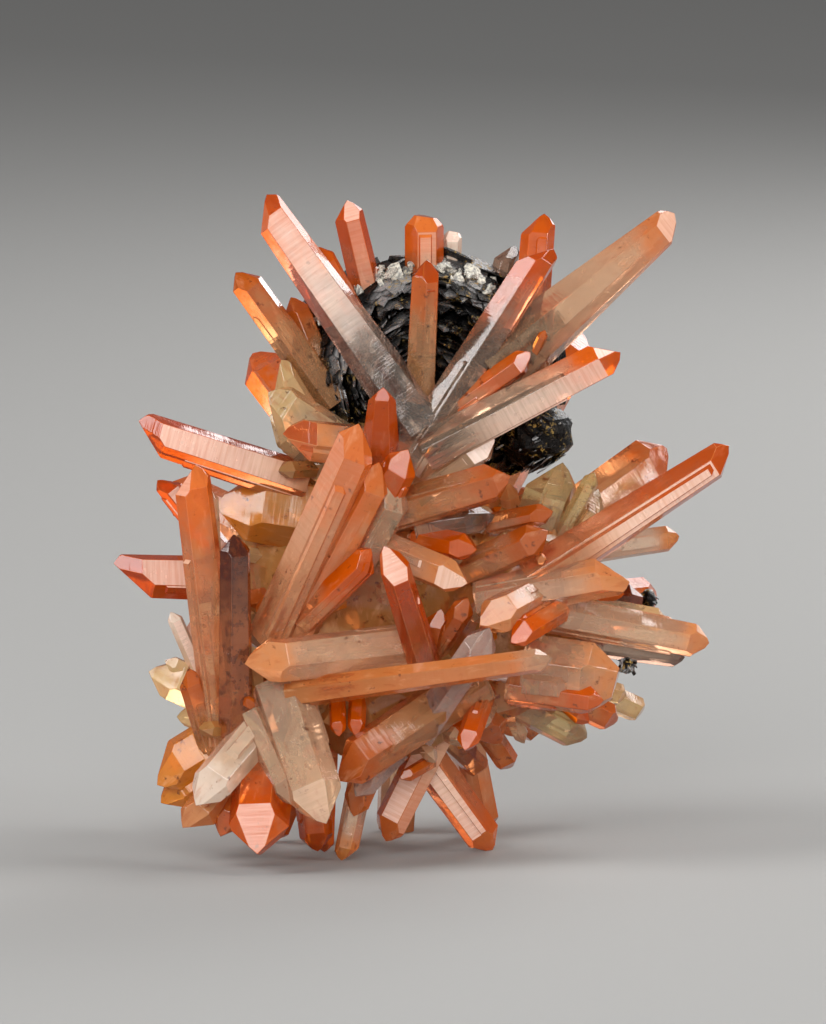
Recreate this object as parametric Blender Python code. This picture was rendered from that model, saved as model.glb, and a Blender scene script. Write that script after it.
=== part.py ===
# A cluster of iron-stained quartz crystals grown round a rosette of black hematite.
# The cluster stands on the tips of its lowest crystals, with X to the right, Y to the
# back and Z up. The crystals are laid out in millimetres as they are seen from the
# front: across from the middle, up from the ground, and back from the front foot.
import bmesh
import bpy
from collections import namedtuple
from math import cos, hypot, pi, radians, sin
from mathutils import Matrix, Vector, noise
from random import Random

MM = 0.001
SIGHT_DOWN = radians(7)        # the front view looks down by this much
MIDDLE_ACROSS = -0.3           # the middle of the specimen's outline, in the layout
MIDDLE_BACK = 12.4
FACE_TO_AXIS = radians(38.2)   # a rhombohedral end face leans this far from the crystal's length
GAP = 0.3                      # clearance between two minerals that touch, mm
MINOR_FACE_STEP = 0.10         # how far the minor end faces stand back, in crystal widths
FACE_SPREAD = 0.10             # how unequal the six prism faces are
FLAT_SPOT_DEPTH = 1.5          # how much of the flat foot's point is missing, mm
BREAK_FACING = Vector((0.15, -0.1, 1)).normalized()   # a broken point's face, from its length
FEET = ("front_foot", "right_foot", "back_foot_left", "back_foot_right", "flat_foot")

# tip and root are (across, up, back); roll turns the six faces about the length; the big end
# face looks to lean (0 front, 90 right of the tip) and slant is how far it reaches down, in
# widths; the crystal narrows to its tip by taper degrees a side; blunt mm of its point are gone.
Crystal = namedtuple("Crystal", "tip root wide deep roll lean slant taper blunt", defaults=(0.6, 0.0))

UPPER_FAN = {
    "upper_left_long": Crystal((-20.6, 82.5, 0.0), (-0.3, 53.9, -3.0), 5.7, 5.2, 8, -75, 0.50, 1.6),
    "upper_left_short": Crystal((-13.2, 76.8, 1.2), (-8.8, 68.5, 1.8), 2.6, 3.4, 20, 60, 0.40),
    "left_rough": Crystal((-23.3, 73.8, 6.0), (-11.2, 57.0, 4.5), 4.2, 4.0, 15, 60, 0.30),
    "left_rough_small": Crystal((-16.6, 70.6, 8.0), (-13.0, 62.0, 6.0), 3.2, 3.0, 25, 30, 0.30),
    "upper_right_long": Crystal((15.2, 76.9, 0.5), (-2.6, 49.0, -4.0), 4.6, 4.4, 22, -85, 0.55),
    "upright_behind": Crystal((14.3, 81.0, 8.5), (13.0, 65.0, 5.5), 4.4, 4.2, 5, -60, 0.40),
    "right_big": Crystal((31.7, 80.8, 9.0), (7.8, 60.6, 0.0), 6.7, 6.2, 12, 20, 0.50, 4.0),
    "right_big_needle": Crystal((14.9, 66.2, -1.6), (13.4, 63.0, -0.4), 1.3, 1.6, 10, 0, 0.3),
    "right_lower": Crystal((24.1, 63.8, -4.5), (-0.2, 51.2, -4.0), 4.8, 4.4, 28, -60, 0.25),
    "right_lower_small": Crystal((13.2, 63.3, -3.2), (2.2, 55.6, -2.6), 3.2, 3.2, 15, 30, 0.35),
    "orange_thumb": Crystal((-5.2, 59.2, -8.0), (-5.6, 48.6, -3.0), 4.3, 4.0, 0, 180, 0.10, 5.0),
    "clear_under_fan": Crystal((8.6, 52.9, -3.0), (-1.0, 46.4, -1.0), 4.0, 4.4, 20, 10, 0.50),
}
LEFT_FAN = {
    "left_long": Crystal((-35.9, 54.0, -2.0), (-15.0, 47.3, 2.0), 5.2, 4.8, 12, -65, 0.55),
    "left_small": Crystal((-33.1, 47.9, 6.0), (-23.6, 36.0, 5.5), 3.2, 3.0, 10, 60, 0.40),
    "left_upright": Crystal((-29.2, 49.3, -7.0), (-25.0, 14.6, -1.0), 4.8, 4.6, 14, -60, 0.45, 0.3),
    "left_upright_thin": Crystal((-26.5, 46.4, -3.4), (-26.0, 31.0, -1.5), 1.8, 2.2, 0, 90, 0.30),
    "dark_upright": Crystal((-23.6, 40.8, -8.0), (-23.6, 15.8, -3.5), 4.0, 3.8, 20, 20, 0.25),
    "left_level": Crystal((-38.8, 35.8, 2.0), (-19.6, 35.2, 6.0), 5.6, 5.0, 15, -60, 0.75),
    "left_thick": Crystal((-26.0, 45.2, 2.0), (-10.0, 42.8, 3.5), 9.2, 8.0, 12, 30, 0.35, 1.5),
    "pale_fin_small": Crystal((-18.6, 62.2, 3.0), (-14.6, 55.4, 3.0), 3.6, 4.6, 10, -70, 0.60),
    "pale_fin": Crystal((-20.4, 57.2, 0.5), (-10.4, 50.6, 2.0), 7.6, 4.6, 5, -70, 0.55, 1.0),
    "peach_level": Crystal((-17.4, 52.9, -5.5), (-6.6, 51.6, -2.0), 5.2, 4.8, 20, -20, 0.60),
    "left_stub": Crystal((-31.6, 31.2, 2.0), (-28.0, 23.0, 2.5), 2.0, 2.0, 12, 40, 0.30),
    "pale_left_rough": Crystal((-34.4, 24.0, 3.0), (-25.4, 20.0, 3.0), 5.2, 5.0, 20, 20, 0.45),
    "pale_left_low": Crystal((-31.0, 18.8, 1.5), (-22.0, 18.4, 2.0), 4.4, 4.8, 5, 60, 0.50),
    "left_finger": Crystal((-29.7, 24.0, -4.2), (-26.6, 13.8, -1.0), 3.1, 3.0, 15, -40, 0.30),
}
CENTRE = {
    "centre_main": Crystal((-7.5, 54.0, -12.0), (-19.4, 27.8, -3.0), 5.5, 5.4, 12, 55, 0.50, 0.2),
    "centre_main_behind": Crystal((-5.2, 49.4, -9.0), (-16.4, 28.0, -2.0), 4.6, 4.6, 20, 60, 0.40),
    "centre_round": Crystal((-1.9, 51.0, -9.0), (-6.4, 43.6, -4.0), 4.9, 4.4, 0, 40, 0.30, 4.0),
    "centre_clear": Crystal((-2.6, 47.8, -7.5), (-8.2, 37.8, -3.0), 5.0, 5.0, 25, 90, 0.55),
    "centre_spear": Crystal((-6.2, 38.6, -9.5), (-15.2, 30.0, -4.0), 3.7, 3.6, 20, 90, 0.45),
    "centre_bright": Crystal((-4.4, 38.8, -14.5), (0.2, 23.8, -4.0), 4.0, 4.0, 10, 20, 0.85),
    "centre_right_pale": Crystal((5.0, 34.9, -9.0), (-6.4, 39.6, -2.5), 4.3, 4.6, 18, 0, 0.45),
    "centre_right_orange": Crystal((6.1, 39.0, -7.0), (-0.8, 40.4, -1.5), 3.5, 3.6, 12, 0, 0.40),
    "brown_pointing_right": Crystal((11.0, 47.9, -7.5), (-5.0, 43.2, -2.0), 5.1, 4.6, 16, 160, 0.45),
    "smoky_under": Crystal((8.6, 43.2, -3.0), (-1.0, 41.8, -1.5), 4.0, 4.0, 22, 0, 0.40),
    "red_brown": Crystal((15.2, 40.9, -6.0), (4.4, 36.0, 0.0), 4.3, 4.2, 14, 30, 0.35),
    "peach_prism": Crystal((25.3, 35.9, -3.5), (6.5, 32.6, -1.0), 5.2, 5.2, 10, -70, 0.50),
    "pink_faceted": Crystal((7.2, 29.8, -9.0), (13.6, 33.2, -2.0), 4.9, 4.8, 15, 0, 0.40),
    "pink_faceted_low": Crystal((10.5, 27.9, -8.5), (16.6, 31.6, -2.0), 3.6, 3.8, 5, 60, 0.40),
    "brown_small": Crystal((5.4, 32.6, -7.0), (1.6, 26.6, -2.0), 3.0, 3.2, 10, 30, 0.40),
    "brown_small_left": Crystal((1.8, 31.4, -6.0), (0.4, 24.6, -2.0), 2.8, 3.0, 0, -30, 0.30),
    "pale_level": Crystal((-22.0, 24.8, -9.5), (-1.6, 27.0, -3.0), 5.6, 5.2, 15, 0, 0.70),
    "long_level": Crystal((15.7, 25.5, -15.0), (-17.0, 21.0, -6.0), 3.4, 3.4, 14, 0, 0.30),
    "lilac_clear": Crystal((8.2, 28.8, -9.0), (-0.4, 16.0, -3.0), 4.2, 4.2, 25, 30, 0.50),
    "brown_thick": Crystal((-11.2, 10.9, -7.5), (7.0, 23.0, -2.0), 6.0, 6.2, 16, 60, 0.40),
}
RIGHT_FAN = {
    "right_long": Crystal((38.4, 51.2, 2.0), (13.0, 34.9, -1.0), 5.0, 4.8, 20, 60, 0.50, 1.6),
    "right_clear": Crystal((32.0, 40.6, 8.5), (18.0, 38.6, 4.5), 3.4, 3.2, 15, 0, 0.35),
    "pale_green_top": Crystal((16.8, 49.9, 4.0), (13.0, 38.4, 4.0), 6.2, 6.0, 18, -30, 0.35),
    "pale_green_small": Crystal((21.2, 48.5, 1.5), (16.6, 40.0, 2.0), 2.2, 2.4, 10, 20, 0.35),
    "pale_green_right": Crystal((22.2, 46.2, 5.5), (16.2, 36.2, 4.5), 4.6, 4.6, 5, 60, 0.40),
    "flat_brown": Crystal((15.9, 43.7, -1.5), (7.6, 42.0, 0.5), 2.8, 3.6, 12, 0, 0.30),
    "dark_behind_right": Crystal((28.0, 32.4, 8.6), (17.4, 32.0, 6.0), 4.4, 4.2, 15, 0, 0.30, 0.6, 0.8),
    "lower_right_long": Crystal((35.8, 27.2, 4.0), (13.0, 31.6, -1.5), 4.5, 4.4, 12, 0, 0.50),
    "lower_right_thin": Crystal((30.3, 30.1, 7.0), (18.0, 32.2, 3.5), 2.8, 2.8, 10, 0, 0.35),
    "lower_right_leaf": Crystal((32.7, 25.4, 7.0), (19.0, 27.4, 3.0), 3.0, 3.2, 15, 0, 0.35),
    "chipped_mass": Crystal((25.6, 22.6, -3.0), (12.6, 24.2, -0.5), 8.6, 7.6, 22, 0, 0.30, 1.0, 1.8),
    "orange_wedge": Crystal((22.4, 19.9, -4.5), (10.4, 21.6, -1.5), 3.9, 4.2, 15, 160, 0.45),
    "pale_low_right": Crystal((20.6, 15.2, 6.0), (10.4, 20.6, 2.5), 4.8, 4.6, 18, 0, 0.45),
    "brown_low_right": Crystal((24.5, 17.2, 13.0), (15.4, 21.6, 7.0), 3.8, 3.8, 12, 0, 0.40),
    "pale_wedge_near": Crystal((25.6, 20.2, 24.0), (10.0, 25.6, 11.0), 3.2, 3.2, 12, 0, 0.35),
    "pale_wedge_far": Crystal((28.0, 18.2, 32.0), (10.5, 26.0, 14.0), 3.6, 3.6, 12, 0, 0.35),
}
LOWER_FAN = {
    "yellow_leaf": Crystal((-33.9, 10.4, -1.5), (-23.6, 16.6, 1.0), 6.2, 5.0, 10, 60, 0.45),
    "yellow_leaf_low": Crystal((-33.0, 7.3, 0.0), (-24.6, 12.4, 1.5), 4.4, 4.2, 16, 0, 0.35),
    "pale_low_left": Crystal((-28.2, 7.5, -10.5), (-19.6, 17.6, -3.0), 5.2, 5.0, 14, 0, 0.55),
    "pale_lower_left": Crystal((-29.8, 4.2, -7.0), (-20.4, 14.6, -1.0), 4.6, 4.4, 10, -30, 0.40),
    "brown_lower_left": Crystal((-25.4, 3.4, -7.0), (-21.0, 12.6, -1.0), 3.6, 3.6, 12, 0, 0.35),
    "orange_chunk": Crystal((-20.8, 1.7, -13.0), (-19.8, 12.4, -3.0), 7.6, 6.6, 12, 0, 0.30),
    "clear_pair": Crystal((-12.4, 5.3, -12.5), (-18.2, 22.4, -4.0), 6.9, 6.0, 15, 0, 0.50),
    "clear_pair_left": Crystal((-16.2, 7.1, -10.5), (-21.4, 18.4, -4.0), 4.0, 4.4, 10, 30, 0.40),
    "small_down": Crystal((-13.4, 1.0, 2.0), (-14.8, 13.6, 0.5), 4.4, 4.2, 5, 0, 0.30),
    "small_down_right": Crystal((-12.6, 0.9, 5.0), (-12.2, 14.4, 3.0), 2.6, 2.6, 15, 0, 0.30),
    "front_foot": Crystal((-10.1, 0.0, 0.0), (-7.3, 14.0, 0.8), 3.1, 3.0, 10, -60, 0.35),
    "pair_down_left": Crystal((-10.7, 15.8, -6.0), (-11.0, 22.4, -1.0), 2.1, 2.2, 12, 0, 0.35),
    "pair_down_right": Crystal((-8.6, 15.9, -6.0), (-8.2, 22.4, -1.0), 2.3, 2.3, 4, 0, 0.35),
    "tiny_level": Crystal((-3.0, 10.4, -2.5), (0.8, 12.6, 1.0), 1.8, 1.8, 12, 0, 0.3),
    "lilac_bar": Crystal((-8.6, 8.3, -5.0), (-3.4, 13.8, -1.0), 3.0, 3.0, 20, 0, 0.35),
    "brown_chunk": Crystal((-9.2, 5.8, -2.0), (-5.6, 14.4, 1.0), 3.6, 3.8, 15, 40, 0.35),
    "front_pink": Crystal((-5.4, 2.5, 3.5), (1.6, 16.6, 3.0), 4.4, 4.6, 12, 40, 0.45),
    "right_foot": Crystal((8.6, 1.0, 8.6), (-1.4, 14.8, 5.0), 4.8, 4.6, 10, 0, 0.30),
    "small_between": Crystal((7.6, 10.8, 19.0), (0.4, 17.6, 9.0), 3.2, 3.2, 15, 0, 0.35),
    "small_right_between": Crystal((11.0, 11.2, 15.0), (5.8, 19.0, 8.0), 3.2, 3.2, 12, 0, 0.35),
    "small_right_end": Crystal((14.6, 15.4, 21.0), (7.4, 21.0, 11.0), 3.1, 3.2, 15, 0, 0.35),
    "small_orange_down": Crystal((5.0, 14.2, -8.0), (7.4, 21.4, -1.0), 3.0, 3.0, 10, 0, 0.35),
    "brown_block": Crystal((9.6, 14.5, 3.0), (4.6, 22.0, 1.0), 5.0, 5.0, 18, 0, 0.30),
}
BACK = {
    "back_foot_left": Crystal((-20.0, 1.95, 16.0), (-11.0, 25.0, 9.0), 4.8, 4.6, 10, 0, 0.35),
    "back_foot_right": Crystal((7.6, 2.8, 23.4), (3.0, 25.0, 16.0), 4.4, 4.4, 15, 0, 0.35),
    "flat_foot": Crystal((-3.7, 3.3, 27.6), (-2.4, 25.0, 17.0), 5.0, 4.8, 20, 0, 0.20),
    "back_top": Crystal((-4.0, 66.0, 36.0), (-3.0, 46.0, 16.0), 7.1, 6.7, 10, 0, 0.40),
    "back_top_left": Crystal((-22.0, 64.0, 26.0), (-8.0, 46.0, 13.0), 6.4, 6.0, 15, 0, 0.40),
    "back_top_right": Crystal((20.0, 67.0, 30.0), (8.0, 46.0, 14.0), 6.6, 6.3, 12, 0, 0.45),
    "back_left": Crystal((-33.0, 47.0, 24.0), (-14.0, 38.0, 12.0), 5.9, 5.8, 8, 0, 0.40),
    "back_left_low": Crystal((-31.0, 28.0, 27.0), (-12.0, 30.0, 14.0), 6.4, 6.0, 12, 0, 0.45),
    "back_right": Crystal((31.0, 52.0, 27.0), (12.0, 38.0, 14.0), 6.2, 6.0, 18, 0, 0.50),
    "back_right_low": Crystal((30.0, 33.0, 31.0), (11.0, 31.0, 15.0), 5.7, 5.6, 5, 0, 0.40),
    "back_middle": Crystal((3.0, 44.0, 41.0), (1.0, 38.0, 20.0), 6.8, 6.5, 14, 0, 0.50),
    "back_middle_left": Crystal((-15.0, 50.0, 37.0), (-6.0, 40.0, 18.0), 5.2, 5.3, 10, 0, 0.35),
    "back_middle_low": Crystal((-8.0, 30.0, 40.0), (-3.0, 32.0, 18.0), 5.7, 5.6, 22, 0, 0.45),
    "back_right_middle": Crystal((16.0, 42.0, 38.0), (7.0, 36.0, 18.0), 5.0, 5.1, 12, 0, 0.35),
    "back_low_right": Crystal((17.0, 22.0, 36.0), (6.0, 27.0, 17.0), 5.5, 5.3, 15, 0, 0.40),
    "back_low_left": Crystal((-22.0, 18.0, 30.0), (-8.0, 26.0, 15.0), 5.7, 5.6, 12, 0, 0.40),
    "back_low_middle": Crystal((4.0, 18.0, 38.0), (1.0, 27.0, 18.0), 4.6, 4.6, 12, 0, 0.35),
}
CROWN = {
    "crown_left": Crystal((-9.8, 82.5, 7.0), (-6.5, 68.6, 8.0), 3.9, 3.6, 10, -20, 0.15),
    "crown_middle": Crystal((-0.2, 81.8, 7.5), (-0.2, 69.4, 8.5), 4.9, 4.4, 8, 0, 0.12, 0.0, 1.3),
    "crown_right": Crystal((3.5, 79.3, 10.5), (3.2, 69.4, 10.0), 2.5, 2.6, 0, 0, 0.50, 0.0, 0.6),
    "crown_smoky": Crystal((10.6, 77.2, 11.0), (8.2, 68.0, 10.0), 3.0, 3.0, 15, -60, 0.60),
    "crown_front": Crystal((0.2, 74.9, -3.0), (-0.6, 57.4, -1.0), 3.5, 3.4, 28, 0, 0.20),
}
# Massive quartz between the crystals: its middle and size (across, up, back).
LUMPS = {
    "heart": ((-5.0, 36.0, 8.0), (40.0, 30.0, 20.0)),
    "heart_back": ((-1.0, 33.0, 19.5), (36.0, 31.0, 21.0)),
    "lower_left_mass": ((-20.0, 17.0, 1.5), (15.0, 15.0, 13.0)),
    "right_mass": ((12.0, 34.0, 7.0), (21.0, 23.0, 17.0)),
    "upper_mass": ((-8.0, 50.0, 4.0), (17.0, 10.0, 11.0)),
    "low_mass": ((-5.0, 20.0, 4.0), (24.0, 15.0, 14.0)),
    "low_right_mass": ((9.0, 23.0, 6.0), (22.0, 12.0, 14.0)),
}
# Small crystals that cover the back of each mass: how many, and how far they stand out, mm.
SMALL_AT_BACK = {"heart_back": 22, "lower_left_mass": 7, "right_mass": 6, "low_right_mass": 4}
SMALL_OUT = (1.5, 6.0)
SMALL_WIDE = (4.2, 7.4)
SMALL_SLANT = 0.35
GOLDEN_TURN = radians(137.5)
# The rosette is nested curved plates about a line to the front; its lobe is a tilted stack.
ROSETTE_MIDDLE = (1.0, 61.0, 9.5)
ROSETTE_REACH = (15.4, 13.8, 9.6)
RINGS = ((4.8, 5), (8.8, 7), (12.4, 10))      # radius from that line, mm, and number of plates
CORE_SHARE = 0.9               # the core's size in the rosette's
PLATE_THICK = 1.2
PLATE_SIDES = 6
PLATE_TOP = 0.72               # a plate's outer face, in widths of its inner one
PLATE_UNEVEN = (0.85, 1.1)
PLATE_OVERLAP = 1.5            # how far the plates of a ring reach over one another
PLATE_OUT = 3.2                # how much longer they are than the core is deep there, mm
LOBE_MIDDLE = (13.6, 53.4, 6.0)
LOBE_REACH = (5.6, 4.8, 5.0)
LOBE_FACING = Vector((-0.55, 0.1, 0.83)).normalized()
LOBE_PLATES = 5
LOBE_PLATE_STEP = 1.9
RIM_PLATES = 6
RIM_FROM = 48                  # the small rim plates' first and last angle from the right, degrees
RIM_TO = 140
RIM_INSIDE = 0.9               # how far inside the rosette's outline their middles are, mm
RIM_FORWARD = 4.0              # and how far in front of its middle
RIM_WIDE = (3.0, 5.0)
LUMP_UNEVEN = 0.18
# Small black pieces that lie on the quartz: middle and size.
CHIPS = {
    "hematite_chip_upper": ((28.0, 32.6, 10.8), (2.6, 3.8, 4.0)),
    "hematite_chip_lower": ((25.2, 24.6, 0.8), (2.4, 2.6, 3.0)),
}
IRON_STAINED = (0.78, 0.34, 0.16)
HEMATITE = (0.030, 0.027, 0.025)
CROWN_COLOURS = {
    "crown_left": (0.76, 0.30, 0.12),
    "crown_middle": (0.74, 0.36, 0.20),
    "crown_right": (0.76, 0.44, 0.30),
    "crown_smoky": (0.36, 0.26, 0.20),
    "crown_front": (0.60, 0.24, 0.10),
}
SPECIMEN = bpy.data.collections.new("quartz_specimen")


def small_at_back():
    """Small crystals spread evenly over the back of the masses, pointing away from them."""
    rows = {}
    for mass, count in SMALL_AT_BACK.items():
        middle, size = LUMPS[mass]
        luck = Random(mass)
        for i in range(count):
            to_back = 1 - (i + 0.5) / count * 0.9
            side = (1 - to_back ** 2) ** 0.5
            turn = GOLDEN_TURN * i + luck.uniform(-0.3, 0.3)
            away = (side * cos(turn), side * sin(turn), to_back)
            out = luck.uniform(*SMALL_OUT)
            wide = luck.uniform(*SMALL_WIDE)
            tip = [m + (s / 2 + out) * a for m, s, a in zip(middle, size, away)]
            root = [m + s / 4 * a for m, s, a in zip(middle, size, away)]
            roll = 60 * luck.random()
            rows[f"{mass}_small_{i}"] = Crystal(tip, root, wide, wide, roll, 0, SMALL_SLANT)
    return rows


GROWN_TOGETHER = {**UPPER_FAN, **LEFT_FAN, **CENTRE, **RIGHT_FAN, **LOWER_FAN, **BACK,
                  **small_at_back()}


def place(across, up, back):
    """A point of the layout, in metres from the middle of the specimen's base."""
    height = (up - back * sin(SIGHT_DOWN)) / cos(SIGHT_DOWN)
    return Vector((across - MIDDLE_ACROSS, back - MIDDLE_BACK, height)) * MM


def prism_faces(shape, luck):
    """The six prism faces: each one's direction round the length, and its distance from it."""
    angles = [radians(shape.roll + 60 * i) for i in range(6)]
    reach = [hypot(shape.wide * sin(a), shape.deep * cos(a)) for a in angles]
    reach = [r * (1 + luck.uniform(-FACE_SPREAD, FACE_SPREAD)) for r in reach]
    corners = [(reach[i - 1] * cos(angles[i]) - reach[i] * cos(angles[i - 1])) / sin(pi / 3)
               for i in range(6)]
    fit = shape.wide / (max(corners) - min(corners))
    return [(angle, far * fit) for angle, far in zip(angles, reach)]


def cut(bm, point, normal):
    """Cuts off what lies beyond a plane and closes the cut with one flat face."""
    everything = bm.verts[:] + bm.edges[:] + bm.faces[:]
    bmesh.ops.bisect_plane(bm, geom=everything, dist=1e-7, plane_co=point,
                           plane_no=normal, clear_outer=True)
    bmesh.ops.holes_fill(bm, edges=[e for e in bm.edges if e.is_boundary], sides=0)


def faceted_bar(shape, faces, length, grown):
    """A long bar with the six prism faces and six end faces, its end faces crossing near zero."""
    taper = radians(shape.taper)
    bm = bmesh.new()
    bmesh.ops.create_cube(bm, size=4 * (length + shape.wide * MM))
    for angle, far in faces:
        outward = Vector((sin(angle) * cos(taper), cos(angle) * cos(taper), sin(taper)))
        middle = Vector((sin(angle) * far * MM, cos(angle) * far * MM, -length / 2))
        cut(bm, middle + outward * grown * MM, outward)
    for i, (angle, far) in enumerate(faces):
        across = cos(FACE_TO_AXIS)
        facing = Vector((sin(angle) * across, cos(angle) * across, sin(FACE_TO_AXIS)))
        step = shape.slant * (1 - cos(angle - radians(shape.lean))) / 2 + MINOR_FACE_STEP * (i % 2)
        cut(bm, Vector((0, 0, step * shape.wide * MM)) + facing * grown * MM, facing)
    return bm


def crystal(name, shape, grown=0.0):
    """One quartz crystal of the layout as an object; grown mm larger all round."""
    top, base = place(*shape.tip), place(*shape.root)
    axis = (top - base).normalized()
    length = (top - base).length
    viewer = Vector((0, -cos(SIGHT_DOWN), sin(SIGHT_DOWN)))
    toward = (viewer - axis * viewer.dot(axis)).normalized()
    turn = Matrix((axis.cross(toward), toward, axis)).transposed().to_4x4()
    faces = prism_faces(shape, Random(name))
    bm = faceted_bar(shape, faces, length, 0.0)
    point = max(v.co.z for v in bm.verts)
    if grown:
        bm.free()
        bm = faceted_bar(shape, faces, length, grown)
    if shape.blunt:
        cut(bm, Vector((0, 0, point - (shape.blunt - grown) * MM)), BREAK_FACING)
    cut(bm, Vector((0, 0, point - length - grown * MM)), Vector((0, 0, -1)))
    bmesh.ops.translate(bm, vec=(0, 0, length - point), verts=bm.verts)
    bmesh.ops.transform(bm, matrix=Matrix.Translation(base) @ turn, verts=bm.verts)
    if name in FEET:
        stand(bm, FLAT_SPOT_DEPTH * MM if name == "flat_foot" else 0.0)
    return new_object(name, bm)


def stand(bm, sunk):
    """Sets a crystal's lowest corner on the ground, or sinks it and cuts it flat there."""
    lowest = min(v.co.z for v in bm.verts)
    bmesh.ops.translate(bm, vec=(0, 0, -lowest - sunk), verts=bm.verts)
    if sunk:
        cut(bm, Vector((0, 0, 0)), Vector((0, 0, -1)))


def lump(name, middle, size, grown=0.0):
    """A block of one mineral between its crystals: an uneven faceted ball."""
    luck = Random(name)
    start = Vector([luck.uniform(0, 50) for _ in range(3)])
    across, up, back = (s / 2 + grown for s in size)
    bm = bmesh.new()
    bmesh.ops.create_icosphere(bm, subdivisions=2, radius=1)
    for v in bm.verts:
        uneven = 1 + LUMP_UNEVEN * noise.noise(v.co * 1.3 + start)
        v.co = Vector((v.co.x * across, v.co.y * back, v.co.z * up)) * uneven * MM
    bmesh.ops.translate(bm, vec=place(*middle), verts=bm.verts)
    return new_object(name, bm)


def plate(middle, outward, along, long, broad, luck):
    """One hematite plate: a thin uneven disc with a bevelled rim, facing outward."""
    bm = bmesh.new()
    bmesh.ops.create_cone(bm, cap_ends=True, segments=PLATE_SIDES, radius1=1, radius2=PLATE_TOP, depth=1)
    for v in bm.verts:
        v.co.x *= long / 2 * luck.uniform(*PLATE_UNEVEN) * MM
        v.co.y *= broad / 2 * luck.uniform(*PLATE_UNEVEN) * MM
        v.co.z *= PLATE_THICK * MM
    side = along.cross(outward).normalized()
    turn = Matrix((outward.cross(side), side, outward)).transposed().to_4x4()
    bmesh.ops.transform(bm, matrix=Matrix.Translation(middle) @ turn, verts=bm.verts)
    return new_object("plate", bm)


def new_object(name, bm):
    bmesh.ops.recalc_face_normals(bm, faces=bm.faces)
    mesh = bpy.data.meshes.new(name)
    bm.to_mesh(mesh)
    bm.free()
    thing = bpy.data.objects.new(name, mesh)
    bpy.context.scene.collection.objects.link(thing)
    return thing


def boolean(thing, other, operation):
    """Joins the other object to this one or cuts it away, and removes the other."""
    step = thing.modifiers.new("step", "BOOLEAN")
    step.operation = operation
    step.solver = "EXACT"
    step.object = other
    graph = bpy.context.evaluated_depsgraph_get()
    thing.data = bpy.data.meshes.new_from_object(thing.evaluated_get(graph))
    thing.modifiers.clear()
    bpy.data.objects.remove(other)


def reach_box(thing):
    """The lowest and highest corner of an object's mesh."""
    points = [v.co for v in thing.data.vertices]
    return [[pick(p[i] for p in points) for i in range(3)] for pick in (min, max)]


def carve(thing, shapes, lumps=None):
    """Cuts sockets for the crystals and lumps, with clearance, and drops chips cut loose."""
    cutters = [crystal(name, shape, GAP) for name, shape in shapes.items()]
    cutters += [lump(name, *row, GAP) for name, row in (lumps or {}).items()]
    low, high = reach_box(thing)
    for cutter in cutters:
        near, far = reach_box(cutter)
        if all(near[i] < high[i] and far[i] > low[i] for i in range(3)):
            boolean(thing, cutter, "DIFFERENCE")
        else:
            bpy.data.objects.remove(cutter)
    keep_largest(thing)


def keep_largest(thing):
    """Deletes every loose piece of a mesh but the one with the most corners."""
    bm = bmesh.new()
    bm.from_mesh(thing.data)
    left = set(bm.verts)
    pieces = []
    while left:
        piece, edge = set(), [left.pop()]
        while edge:
            v = edge.pop()
            piece.add(v)
            for e in v.link_edges:
                other = e.other_vert(v)
                if other in left:
                    left.remove(other)
                    edge.append(other)
        pieces.append(piece)
    pieces.sort(key=len)
    for piece in pieces[:-1]:
        bmesh.ops.delete(bm, geom=list(piece), context="VERTS")
    bm.to_mesh(thing.data)
    bm.free()


def quartz_cluster():
    """Every crystal that grows into another or into the massive quartz, as one solid."""
    masses = [lump(name, *row) for name, row in LUMPS.items()]
    cluster = masses[0]
    for mass in masses[1:]:
        boolean(cluster, mass, "UNION")
    for name, shape in GROWN_TOGETHER.items():
        boolean(cluster, crystal(name, shape), "UNION")
    keep_largest(cluster)
    return cluster


def rosette():
    """Curved plates nested round a line to the front, on a core, with a tilted lobe."""
    luck = Random("rosette")
    to_back = Vector((0, 1, 0))
    across, up, back = ROSETTE_REACH
    middle_across, middle_up, middle_back = ROSETTE_MIDDLE
    mass = lump("hematite_rosette", ROSETTE_MIDDLE, [2 * CORE_SHARE * r for r in ROSETTE_REACH])
    for radius, count in RINGS:
        depth = 2 * back * (1 - (radius / (across + 1)) ** 2) ** 0.5 + PLATE_OUT
        broad = 2 * pi * radius / count * PLATE_OVERLAP
        for i in range(count):
            angle = 2 * pi * (i + luck.uniform(-0.2, 0.2)) / count
            facing = Vector((cos(angle), luck.uniform(-0.25, 0.25), sin(angle))).normalized()
            middle = (middle_across + radius * cos(angle),
                      middle_up + radius * up / across * sin(angle),
                      middle_back + luck.uniform(-0.8, 0.4))
            boolean(mass, plate(place(*middle), facing, to_back, depth, broad, luck), "UNION")
    boolean(mass, lump("lobe", LOBE_MIDDLE, [2 * CORE_SHARE * r for r in LOBE_REACH]), "UNION")
    for i in range(LOBE_PLATES):
        level = i - (LOBE_PLATES - 1) / 2
        middle = place(*LOBE_MIDDLE) + LOBE_FACING * level * LOBE_PLATE_STEP * MM
        broad = 2 * LOBE_REACH[0] * (1 - (level / LOBE_PLATES * 1.5) ** 2) ** 0.5
        boolean(mass, plate(middle, LOBE_FACING, to_back, broad, broad, luck), "UNION")
    for i in range(RIM_PLATES):
        angle = radians(RIM_FROM + (RIM_TO - RIM_FROM) * i / (RIM_PLATES - 1))
        facing = Vector((cos(angle), -0.4, sin(angle))).normalized()
        middle = (middle_across + (across - RIM_INSIDE) * cos(angle),
                  middle_up + (up - RIM_INSIDE) * sin(angle),
                  middle_back - RIM_FORWARD + luck.uniform(-1.5, 1.5))
        small = luck.uniform(*RIM_WIDE)
        boolean(mass, plate(place(*middle), facing, to_back, small, small * 0.8, luck), "UNION")
    return mass


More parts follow.
